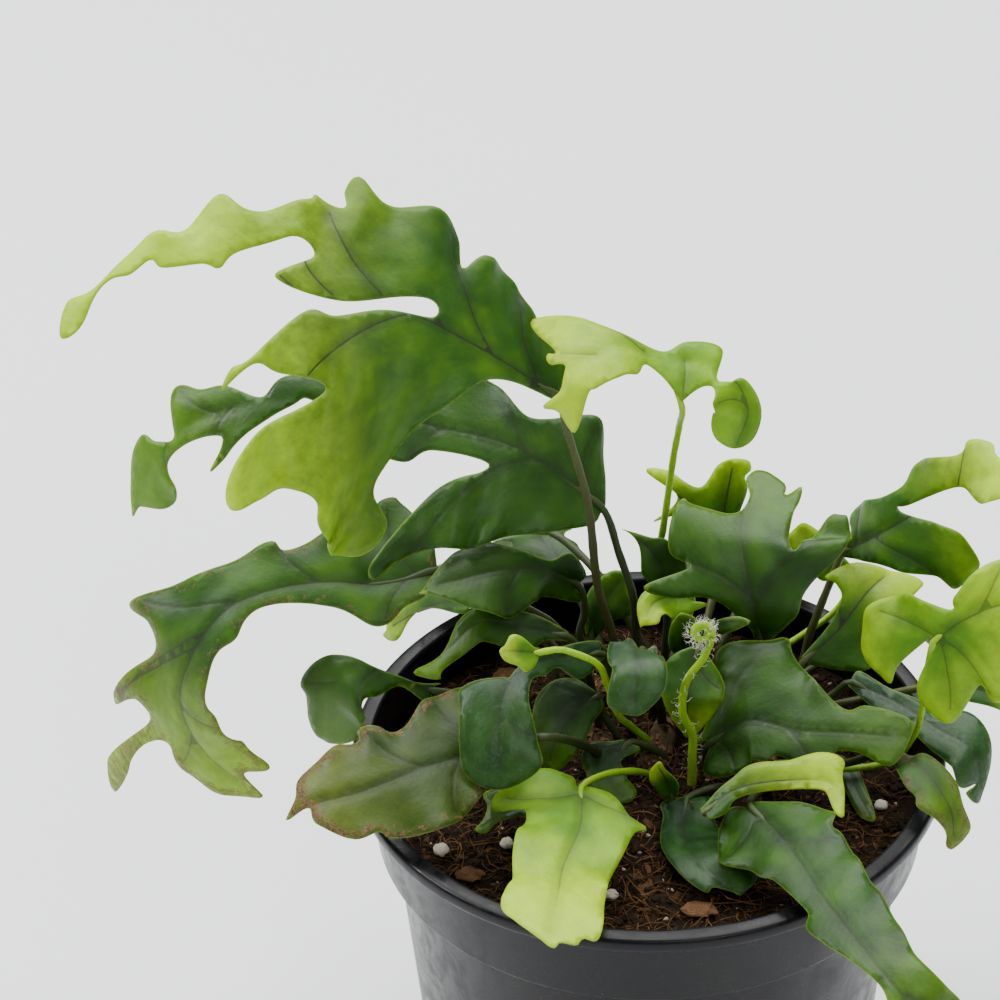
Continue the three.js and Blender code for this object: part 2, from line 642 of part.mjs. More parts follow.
// A profile of [radius, height] points, turned about the upright axis.
function turned(profile, segments = roundSegments) {
  const points = profile.map(([radius, height]) => new THREE.Vector2(radius, height));
  const geometry = new THREE.LatheGeometry(points, segments);
  geometry.rotateX(Math.PI / 2);
  const solid = toSolid(geometry);
  return solid.volume() < 0 ? toSolid(facingOut(geometry)) : solid;
}

// The same geometry with every triangle turned round.
function facingOut(geometry) {
  const index = geometry.index.array;
  for (let i = 0; i < index.length; i += 3) {
    const second = index[i + 1];
    index[i + 1] = index[i + 2];
    index[i + 2] = second;
  }
  return geometry;
}

// A round bar of one radius along a smooth line through the points.
function bar(points, radius, curveSegments = 3, stepLength = 9) {
  const path = new THREE.CatmullRomCurve3(points);
  const section = new THREE.Shape();
  section.absarc(0, 0, radius, 0, 2 * Math.PI);
  const steps = Math.max(3, Math.ceil(path.getLength() / stepLength));
  const options = { steps, extrudePath: path, curveSegments, bevelEnabled: false };
  return toSolid(new THREE.ExtrudeGeometry(section, options));
}

function ball(centre, radius, widthSegments = 8, heightSegments = 6) {
  const geometry = new THREE.SphereGeometry(radius, widthSegments, heightSegments);
  geometry.translate(centre.x, centre.y, centre.z);
  return toSolid(geometry);
}

// The largest of a solid's separate bodies.
function mainBody(solid) {
  const bodies = solid.decompose();
  return bodies.reduce((best, body) => (body.volume() > best.volume() ? body : best));
}

function boxesMeet(a, b) {
  const p = a.boundingBox();
  const q = b.boundingBox();
  return [0, 1, 2].every((axis) => p.min[axis] < q.max[axis] && q.min[axis] < p.max[axis]);
}

// ---------------------------------------------------------------------------------------------
// Pot and potting mix
// ---------------------------------------------------------------------------------------------

// The pot's outer face from the base up to the rim, grown by a margin all round.
function potOutside(grow = 0) {
  return [
    [baseRadius - 0.8 + grow, -grow],
    [baseRadius + grow, 0.8],
    [bodyTopRadius + grow, collarBottom - grow],
    [collarRadius - collarTaper + grow, collarBottom - grow],
    [collarRadius + grow, collarTop - grow],
    [rimRadius - rimRound + grow, collarTop - grow],
    [rimRadius + grow, collarTop + rimRound],
    [rimRadius + grow, potHeight - rimRound],
    [rimRadius - rimRound + grow, potHeight + grow],
  ];
}

// The pot's inner face from the floor up to the rim, drawn in by a gap, which the mix fills.
function potInside(gap = 0) {
  const slope = (bodyTopRadius - baseRadius) / collarBottom;
  return [
    [baseRadius + slope * floorTop - wall - gap, floorTop + gap],
    [bodyTopRadius - wall - gap, collarBottom + wall + gap],
    [collarRadius - collarTaper - wall - gap, collarBottom + wall + gap],
    [collarRadius - wall - gap, collarTop],
  ];
}

function pot() {
  const base = [
    [0, 0],
    [padRadius, 0],
    [padRadius + 1, footHeight],
    [baseRadius - footWidth - 1, footHeight],
    [baseRadius - footWidth, 0],
  ];
  const rimTop = [[collarRadius - wall + rimRound, potHeight]];
  const inside = potInside().reverse();
  const profile = [...base, ...potOutside(), ...rimTop, ...inside, [0, floorTop]];
  let solid = turned(profile);
  for (let i = 0; i < drainHoles; i += 1) {
    const angle = (2 * Math.PI * i) / drainHoles;
    const drill = new THREE.CylinderGeometry(drainRadius, drainRadius, 4 * floorTop, 16);
    drill.rotateX(Math.PI / 2);
    drill.translate(drainCircle * Math.cos(angle), drainCircle * Math.sin(angle), 0);
    solid = solid.subtract(toSolid(drill));
  }
  return solid;
}

// Height of the top of the mix at a distance from the pot's axis.
const mixHeight = (radius) => mixEdge + moundHeight * Math.exp(-((radius / moundRadius) ** 2));

// The mix, grown upward by a margin where something has to stand clear of its top.
function pottingSoil(grow = 0) {
  const top = [];
  const share = (mixEdge - collarBottom - wall) / (collarHeight - wall);
  const edge = collarRadius - collarTaper * (1 - share) - wall - clearance;
  for (let ring = moundRings; ring >= 0; ring -= 1) {
    const radius = (edge * ring) / moundRings;
    top.push([radius, mixHeight(radius) + grow]);
  }
  const sides = potInside(clearance).slice(0, 3);
  return turned([[0, floorTop + clearance], ...sides, ...top]);
}

// ---------------------------------------------------------------------------------------------
// Fronds
// ---------------------------------------------------------------------------------------------

// A point of the layout, in millimetres from the pot's axis and up from the edge of the mix.
function layoutPoint([x, y, z]) {
  const spread = (rimRadius / layoutRimRadius) * plantScale;
  return new THREE.Vector3(x * spread, y * spread, mixEdge + z * plantScale);
}

// The curved surface that a flat blade is laid on. The midrib follows the line through the points.
// The upper face looks along `face`, which turns from its first direction to its last, and the
// blade curls down about the midrib on a circle of curvature `curl` (1/mm) at the base and tip.
class BladeSurface {
  constructor(frond) {
    this.midrib = new THREE.CatmullRomCurve3(frond.midrib.map(layoutPoint));
    this.midrib.arcLengthDivisions = 300;
    this.length = this.midrib.getLength();
    this.faces = frond.face.map((direction) => new THREE.Vector3(...direction));
    this.curl = frond.curl;
  }

  faceAt(share) {
    const place = share * (this.faces.length - 1);
    const index = Math.min(Math.floor(place), this.faces.length - 2);
    return this.faces[index].clone().lerp(this.faces[index + 1], place - index);
  }

  // The point `along` the midrib and `out` from it, raised by `lift` over the surface.
  place(along, out, lift) {
    const reached = THREE.MathUtils.clamp(along, 0, this.length);
    const share = reached / this.length;
    const tangent = this.midrib.getTangentAt(share);
    const centre = this.midrib.getPointAt(share).addScaledVector(tangent, along - reached);
    const face = this.faceAt(share);
    const up = face.addScaledVector(tangent, -face.dot(tangent)).normalize();
    const across = new THREE.Vector3().crossVectors(tangent, up);
    const bend = THREE.MathUtils.lerp(this.curl[0], this.curl[1], share) / plantScale;
    const angle = bend * out;
    const sideways = Math.sin(angle) / bend + lift * Math.sin(angle);
    const height = (Math.cos(angle) - 1) / bend + lift * Math.cos(angle);
    return centre.addScaledVector(across, sideways).addScaledVector(up, height);
  }
}

// The flat outline of a blade: out along the right-hand margin, round the tip, and back along the
// left-hand one. A blade joins its stalk at the start of the midrib, or at `joint` if it has one.
function bladeOutline(frond, length) {
  const scaled = ([along, out]) => new THREE.Vector2(along * plantScale, out * plantScale);
  const joint = frond.joint ? [scaled(frond.joint)] : [];
  const start = frond.joint ? joint : [new THREE.Vector2(0, 1)];
  const end = frond.joint ? joint : [new THREE.Vector2(0, -1)];
  const right = frond.right.map(scaled);
  const left = frond.left.map(scaled).reverse();
  const shape = new THREE.Shape();
  shape.moveTo(start[0].x, start[0].y);
  shape.splineThru([...right, new THREE.Vector2(length + 0.5, 0), ...left, ...end]);
  return shape;
}

// A blade as a thin curved slab: the flat outline is cut out, divided and bent onto its surface.
function bladeSolid(frond, surface, thickness) {
  const outline = bladeOutline(frond, surface.length);
  const options = { depth: thickness, bevelEnabled: false, curveSegments: outlineSteps };
  const slab = new THREE.ExtrudeGeometry(outline, options);
  slab.translate(0, 0, -thickness / 2);
  const divided = new TessellateModifier(bladeDivision, 12).modify(slab);
  divided.deleteAttribute('normal');
  divided.deleteAttribute('uv');
  const merged = mergeVertices(divided, 1e-4);
  const position = merged.getAttribute('position');
  for (let i = 0; i < position.count; i += 1) {
    const point = surface.place(position.getX(i), position.getY(i), position.getZ(i));
    position.setXYZ(i, point.x, point.y, point.z);
  }
  return toSolid(facingOut(merged));
}

// The leaf stalk, from below the top of the mix up to the blade, and a little way along the midrib.
function stalkPoints(frond, surface) {
  const points = frond.stalk.map(layoutPoint);
  const below = points[0].clone();
  below.z -= stalkDepth;
  const [along, out] = (frond.joint ?? [0, 0]).map((share) => share * plantScale);
  const joint = surface.place(along, out, 0);
  const end = out === 0
    ? surface.place(along + stalkOverlap, 0, 0)
    : surface.place(along, out - Math.sign(out) * stalkOverlap, 0);
  return [below, ...points, joint, end];
}

// A frond's solid, fattened all round by `grow` when another piece has to keep clear of it.
function frondSolid(frond, grow = 0) {
  const surface = new BladeSurface(frond);
  const blade = bladeSolid(frond, surface, bladeThickness + 2 * grow);
  return blade.add(bar(stalkPoints(frond, surface), stalkRadius + grow));
}

// The crozier: an unopened frond. Its tight coil is a ball at the end of its stalk.
function crozierSolid(grow = 0) {
  const stalk = bar(crozier.stalk.map(layoutPoint), crozier.radius + grow);
  const centre = layoutPoint(crozier.coil);
  return stalk.add(ball(centre, crozier.coilRadius + grow, 12, 8));
}

// A creeping rootstock: a thick bar, rounded at both ends.
function rootstockSolid(points, grow = 0) {
  const path = points.map(layoutPoint);
  const radius = rootstockRadius + grow;
  const first = ball(path[0], radius);
  const last = ball(path[path.length - 1], radius);
  return bar(path, radius, 4, 7).add(first).add(last);
}

// A loose piece lying on the mix: a low-sided ball, pressed to its size and turned.
function loosePiece({ at: [x, y], size, turn }, grow = 0) {
  const geometry = new THREE.IcosahedronGeometry(0.5, 1);
  geometry.scale(size[0] + 2 * grow, size[1] + 2 * grow, size[2] + 2 * grow);
  geometry.rotateZ(THREE.MathUtils.degToRad(turn));
  const spread = rimRadius / layoutRimRadius;
  const height = mixHeight(Math.hypot(x, y) * spread) + 0.5 * size[2] * 0.8;
  geometry.translate(x * spread, y * spread, height);
  return toSolid(geometry);
}

// ---------------------------------------------------------------------------------------------
// The assembly
// ---------------------------------------------------------------------------------------------

const plant = new THREE.Group();

function addPart(name, solid, finish) {
  const mesh = new THREE.Mesh(toGeometry(solid), new THREE.MeshStandardMaterial(finish));
  mesh.name = name;
  plant.add(mesh);
}

// What is already in place, each piece fattened by the clearance, so the next keeps clear of it.
const placed = [];

function clearOf(solid, obstacles) {
  const near = obstacles.filter((obstacle) => boxesMeet(obstacle, solid));
  const cut = near.reduce((rest, obstacle) => rest.subtract(obstacle), solid);
  return near.length ? mainBody(cut) : solid;
}

const potSolid = pot();
addPart('pot', potSolid, blackPlastic);
placed.push(turned([[0, -clearance], ...potOutside(clearance),
  [collarRadius - wall - clearance, potHeight + clearance],
  ...potInside(clearance).reverse(), [0, floorTop + clearance]]));

const rootstockSolids = Object.values(rootstocks).map((points) => rootstockSolid(points));
const rootstockKeepOuts = Object.values(rootstocks).map((points) => rootstockSolid(points, clearance));
const mix = rootstockKeepOuts.reduce((rest, keepOut) => rest.subtract(keepOut), pottingSoil());
addPart('potting_mix', mainBody(mix), pottingMix);
placed.push(pottingSoil(clearance));
Object.keys(rootstocks).forEach((name, i) => {
  addPart(name, rootstockSolids[i], rootstockBrown);
});
placed.push(...rootstockKeepOuts);

for (const frond of fronds) {
  const solid = clearOf(frondSolid(frond), placed);
  addPart(frond.name, solid, leafTones[frond.tone]);
  placed.push(frondSolid(frond, clearance));
}
addPart('crozier', clearOf(crozierSolid(), placed), leafTones.lime);
placed.push(crozierSolid(clearance));

for (const piece of barkChips) {
  addPart(piece.name, clearOf(loosePiece(piece), placed), barkBrown);
  placed.push(loosePiece(piece, clearance));
}
for (const piece of perliteGrains) {
  addPart(piece.name, clearOf(loosePiece(piece), placed), perliteWhite);
  placed.push(loosePiece(piece, clearance));
}

export default plant;
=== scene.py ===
# %% [markdown]
# # A young lobed fern in a black nursery pot
#
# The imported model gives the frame: the pot, the potting mix, four creeping rootstocks and one
# solid for each frond, in metres, with the origin at the centre of the pot's base. This script
# replaces each plain solid with a finished piece in the same place: thin glossy blades with their
# veins, thin stalks, a hairy crozier, fibrous potting mix and satin black plastic.
#
# Everything is worked out from the frame's boxes, the pot's sizes and one layout list, in millimetres,
# which says where each frond's stalk and midrib run and what outline its flat blade has.

# %% The frame, and the box that the finished object has to keep to
import math
import bpy
import numpy as np
from mathutils import Matrix, Vector
from mathutils.geometry import delaunay_2d_cdt


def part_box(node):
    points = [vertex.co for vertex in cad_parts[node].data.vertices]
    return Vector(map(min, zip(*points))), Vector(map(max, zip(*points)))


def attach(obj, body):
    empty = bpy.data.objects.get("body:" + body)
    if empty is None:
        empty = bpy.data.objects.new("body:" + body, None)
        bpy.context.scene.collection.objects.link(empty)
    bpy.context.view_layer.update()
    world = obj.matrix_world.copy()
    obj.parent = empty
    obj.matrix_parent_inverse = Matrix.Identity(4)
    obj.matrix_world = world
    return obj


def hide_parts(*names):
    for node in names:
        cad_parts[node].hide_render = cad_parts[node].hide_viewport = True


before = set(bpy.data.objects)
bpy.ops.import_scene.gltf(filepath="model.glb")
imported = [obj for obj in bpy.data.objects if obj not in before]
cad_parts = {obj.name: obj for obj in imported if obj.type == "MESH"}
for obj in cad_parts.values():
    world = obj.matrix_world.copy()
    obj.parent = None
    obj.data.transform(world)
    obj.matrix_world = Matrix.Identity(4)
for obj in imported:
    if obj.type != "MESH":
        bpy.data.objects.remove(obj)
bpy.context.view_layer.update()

MM = 0.001
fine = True
pot_low, pot_high = (np.array(corner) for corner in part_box("pot"))
mix_low, mix_high = (np.array(corner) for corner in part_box("potting_mix"))
rim_radius = (pot_high[0] - pot_low[0]) / 2
pot_height = pot_high[2]
mound_height = 3 * MM
mound_radius = 26 * MM
mix_edge = mix_high[2] - mound_height
mix_radius = (mix_high[0] - mix_low[0]) / 2
print("rim radius", rim_radius, "pot height", pot_height, "edge of the mix at", mix_edge)

# %% Sizes of the pot that the frame's boxes don't give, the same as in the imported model
wall = 1.4 * MM
rim_band = 3.4 * MM
rim_overhang = 3 * MM
rim_round = 0.7 * MM
collar_height = 16 * MM
collar_taper = 1.4 * MM
shoulder = 3.4 * MM
base_radius = 45 * MM
floor_thickness = 1.6 * MM
foot_height = 1.4 * MM
foot_width = 5 * MM
pad_radius = 9 * MM
drain_holes = 8
drain_radius = 4 * MM
drain_circle = 27 * MM
clearance = 0.3 * MM

collar_radius = rim_radius - rim_overhang
collar_top = pot_height - rim_band
collar_bottom = collar_top - collar_height
body_top = collar_radius - collar_taper - shoulder
floor_top = foot_height + floor_thickness
print("collar from", collar_bottom, "to", collar_top)


# %% [markdown]
# ## Shader arithmetic
#
# A leaf's colour is a sum of simple layers: a base tone, yellower tips, dark veins, a pale margin
# and faint ribs. Written node by node that is hard to read, so a small class wraps one node output
# and lets the layers be written as formulas. Every other node is made by its one `node` method.

# %% A node output that can be used in a formula
class Sock:
    """One output socket of a material's node tree."""

    def __init__(self, tree, socket=None):
        self.tree = tree
        self.socket = socket

    def node(self, kind, inputs=None, output=0, **settings):
        """A new node of a kind, with its settings and inputs, as the chosen output."""
        made = self.tree.nodes.new(kind)
        for key, value in settings.items():
            setattr(made, key, value)
        for key, value in (inputs or {}).items():
            if isinstance(value, Sock):
                self.tree.links.new(value.socket, made.inputs[key])
            else:
                made.inputs[key].default_value = value
        return Sock(self.tree, made.outputs[output])

    def maths(self, operation, *values, **settings):
        return self.node("ShaderNodeMath", dict(enumerate(values)), operation=operation, **settings)

    def vector(self, operation, *values, output=0):
        return self.node("ShaderNodeVectorMath", dict(enumerate(values)), output, operation=operation)

    def __add__(self, other):
        return self.maths("ADD", self, other)

    def __sub__(self, other):
        return self.maths("SUBTRACT", self, other)

    def __rsub__(self, other):
        return self.maths("SUBTRACT", other, self)

    def __mul__(self, other):
        return self.maths("MULTIPLY", self, other)

    __radd__ = __add__
    __rmul__ = __mul__

    def abs(self):
        return self.maths("ABSOLUTE", self)

    def sin(self):
        return self.maths("SINE", self)

    def clamped(self):
        return self.maths("ADD", self, 0.0, use_clamp=True)

    def step(self, low, high):
        """0 where this is below low, 1 above high, and smooth in between."""
        inputs = {"Value": self, "From Min": low, "From Max": high}
        return self.node("ShaderNodeMapRange", inputs, interpolation_type="SMOOTHSTEP")

    def mix(self, first, second):
        """The first colour where this is 0, and the second where it is 1."""
        inputs = {0: self, 6: first, 7: second}
        return self.node("ShaderNodeMix", inputs, 2, data_type="RGBA")

    def parts(self):
        """The three numbers of a vector."""
        return [self.node("ShaderNodeSeparateXYZ", {0: self}, axis) for axis in range(3)]

    def noise(self, scale, detail=3.0, roughness=0.55, distortion=0.0):
        """Noise from 0 to 1 over this vector."""
        inputs = {"Vector": self, "Scale": scale, "Detail": detail,
                  "Roughness": roughness, "Distortion": distortion}
        return self.node("ShaderNodeTexNoise", inputs)

    def bump(self, height, strength, distance):
        inputs = {"Height": height, "Strength": strength, "Distance": distance}
        return self.node("ShaderNodeBump", inputs)


def colour(red, green, blue):
    return (red, green, blue, 1.0)


def new_material(name):
    """An empty material and the Sock that its formula starts from."""
    material = bpy.data.materials.new(name)
    material.use_nodes = True
    material.node_tree.nodes.clear()
    return material, Sock(material.node_tree)


def finish_material(start, **inputs):
    """The material's one Principled surface. Inputs are named with _ for a space."""
    named = {key.replace("_", " "): value for key, value in inputs.items()}
    surface = start.node("ShaderNodeBsdfPrincipled", named)
    result = start.tree.nodes.new("ShaderNodeOutputMaterial")
    start.tree.links.new(surface.socket, result.inputs["Surface"])


def object_millimetres(start):
    """Object coordinates in millimetres, as a vector."""
    place = start.node("ShaderNodeTexCoord", output="Object")
    return start.vector("MULTIPLY", place, (1 / MM, 1 / MM, 1 / MM))


# %% [markdown]
# ## Mesh tools
#
# Real surfaces here are of three kinds: grids (the wall of the pot, the stalks), flat cut-outs bent
# in space (the blades) and many small copies (crumbs, fibres, hairs). Each is built as whole arrays
# of points, which is quick and keeps the formula for the shape in one place.

# %% Meshes from arrays, and noise for their surfaces
rng = np.random.default_rng(12)


def mesh_piece(name, points, faces, material, attributes=None, smooth=True):
    """A mesh object from points (metres) and faces, with vector attributes on its points."""
    mesh = bpy.data.meshes.new(name)
    mesh.from_pydata(points.tolist(), [], faces.tolist())
    for key, values in (attributes or {}).items():
        layer = mesh.attributes.new(key, "FLOAT_VECTOR", "POINT")
        layer.data.foreach_set("vector", np.ascontiguousarray(values, dtype=np.float32).ravel())
    mesh.polygons.foreach_set("use_smooth", np.full(len(mesh.polygons), smooth))
    mesh.materials.append(material)
    mesh.update()
    piece = bpy.data.objects.new(name, mesh)
    bpy.context.scene.collection.objects.link(piece)
    return piece


def grid_faces(rows, columns, wrap=False):
    """Quads between the points of a grid that is stored row after row. `wrap` joins the last
    column to the first one."""
    row = np.arange(rows - 1)[:, None]
    column = np.arange(columns if wrap else columns - 1)[None, :]
    after = (column + 1) % columns
    corners = [row * columns + column, row * columns + after,
               (row + 1) * columns + after, (row + 1) * columns + column]
    return np.stack(np.broadcast_arrays(*corners), -1).reshape(-1, 4)


def unit(vectors):
    return vectors / np.maximum(np.linalg.norm(vectors, axis=-1, keepdims=True), 1e-12)


def smooth_step(values, low, high):
    share = np.clip((values - low) / (high - low), 0, 1)
    return share * share * (3 - 2 * share)


def lattice_value(column, row, seed):
    """A fixed random number from 0 to 1 for each whole-numbered place."""
    return np.modf(np.abs(np.sin(column * 127.1 + row * 311.7 + seed * 74.7) * 43758.5453))[0]


def swell(x, y, seed):
    """Smooth noise from -1 to 1: the values of the four lattice points round (x, y), blended."""
    column, row = np.floor(x), np.floor(y)
    across, up = smooth_step(x - column, 0, 1), smooth_step(y - row, 0, 1)
    low = lattice_value(column, row, seed) * (1 - across)
    low = low + lattice_value(column + 1, row, seed) * across
    high = lattice_value(column, row + 1, seed) * (1 - across)
    high = high + lattice_value(column + 1, row + 1, seed) * across
    return 2 * (low * (1 - up) + high * up) - 1


def rough_ground(x, y, seed):
    """Four sizes of swell, each half as wide and half as high as the one before."""
    return sum(swell(x * 2 ** k, y * 2 ** k, seed + k) / 2 ** k for k in range(4)) / 1.9


# %% [markdown]
# ## Smooth lines and tubes
#
# A stalk is a thin round bar that tapers along a curved line. The line is the same centripetal
# Catmull-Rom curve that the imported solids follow, so the finished stalks lie inside them.

# %% A curve through points, and a tapering tube along a curve
class SmoothLine:
    """The centripetal Catmull-Rom curve through points, measured by distance along it."""

    def __init__(self, points):
        knots = np.array(points, dtype=float)
        ends = [2 * knots[0] - knots[1], 2 * knots[-1] - knots[-2]]
        padded = np.vstack([ends[0], knots, ends[1]])
        place = np.linspace(0, len(knots) - 1, 60 * len(knots))
        span = np.minimum(place.astype(int), len(knots) - 2)
        share = (place - span)[:, None]
        p0, p1, p2, p3 = (padded[span + k] for k in range(4))
        gap = [np.linalg.norm(b - a, axis=1)[:, None] ** 0.5 for a, b in ((p0, p1), (p1, p2), (p2, p3))]
        out = ((p1 - p0) / gap[0] - (p2 - p0) / (gap[0] + gap[1]) + (p2 - p1) / gap[1]) * gap[1]
        into = ((p2 - p1) / gap[1] - (p3 - p1) / (gap[1] + gap[2]) + (p3 - p2) / gap[2]) * gap[1]
        cubic = (2 * (p1 - p2) + out + into) * share ** 3
        square = (3 * (p2 - p1) - 2 * out - into) * share ** 2
        self.points = p1 + out * share + square + cubic
        steps = np.linalg.norm(np.diff(self.points, axis=0), axis=1)
        self.reach = np.concatenate([[0], np.cumsum(steps)])
        self.length = self.reach[-1]
        self.heading = unit(np.gradient(self.points, self.reach, axis=0))

    def along(self, table, distance):
        return np.stack([np.interp(distance, self.reach, table[:, k]) for k in range(3)], -1)

    def at(self, distance):
        return self.along(self.points, distance)

    def direction(self, distance):
        return unit(self.along(self.heading, distance))


def tube_arrays(centres, radii, sides=8):
    """A closed tube: at each centre a ring of that radius, in a frame carried along the line.
    Point j of ring i is c_i + r_i (cos a_j u_i + sin a_j v_i), and each end closes on its centre."""
    heading = unit(np.gradient(centres, axis=0))
    side = np.empty_like(heading)
    start = np.cross(heading[0], [0.31, 0.22, 0.93])
    side[0] = unit(start)
    for i in range(1, len(centres)):
        side[i] = unit(side[i - 1] - heading[i] * np.dot(side[i - 1], heading[i]))
    other = np.cross(heading, side)
    angle = 2 * np.pi * np.arange(sides) / sides
    ring = np.cos(angle)[None, :, None] * side[:, None] + np.sin(angle)[None, :, None] * other[:, None]
    rings = centres[:, None] + np.asarray(radii)[:, None, None] * ring
    rows = np.concatenate([np.repeat(centres[:1, None], sides, 1), rings,
                           np.repeat(centres[-1:, None], sides, 1)])
    return rows.reshape(-1, 3), grid_faces(len(centres) + 2, sides, wrap=True)


def copies(shape_points, shape_faces, places, turns, sizes):
    """Many copies of one small shape: each copy's points are place + turn @ (size * point)."""
    scaled = shape_points[None] * sizes[:, None, :]
    turned = np.einsum("nij,npj->npi", turns, scaled) + places[:, None]
    count = len(shape_points)
    faces = shape_faces[None] + (np.arange(len(places)) * count)[:, None, None]
    return turned.reshape(-1, 3), faces.reshape(-1, shape_faces.shape[1])


def random_turns(count, tilt=math.pi):
    """Rotation matrices: a random heading about Z after a random tilt about X of up to `tilt`."""
    heading = rng.uniform(0, 2 * np.pi, count)
    lean = rng.uniform(-tilt, tilt, count)
    c, s, zero, one = np.cos(heading), np.sin(heading), np.zeros(count), np.ones(count)
    about_z = np.stack([c, -s, zero, s, c, zero, zero, zero, one], -1).reshape(-1, 3, 3)
    c, s = np.cos(lean), np.sin(lean)
    about_x = np.stack([one, zero, zero, zero, c, -s, zero, s, c], -1).reshape(-1, 3, 3)
    return about_z @ about_x


def join_arrays(groups):
    """Several (points, faces) pairs as one pair."""
    starts = np.cumsum([0] + [len(points) for points, _ in groups[:-1]])
    faces = [faces + start for (_, faces), start in zip(groups, starts)]
    return np.vstack([points for points, _ in groups]), np.vstack(faces)

# %% [markdown]
# ## The layout of the plant
#
# Each frond has a stalk, from the rootstock up, and a midrib, from the base of the blade to its
# tip. The upper side looks along `face`, from the base to the tip, and the blade curls down about
# the midrib by `curl` (1/mm). `right` and `left` are the flat margins from base to tip: the lobes
# and the bays between them, each as (along the midrib, out from it). Heights start from the edge of
# the mix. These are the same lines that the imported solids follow.

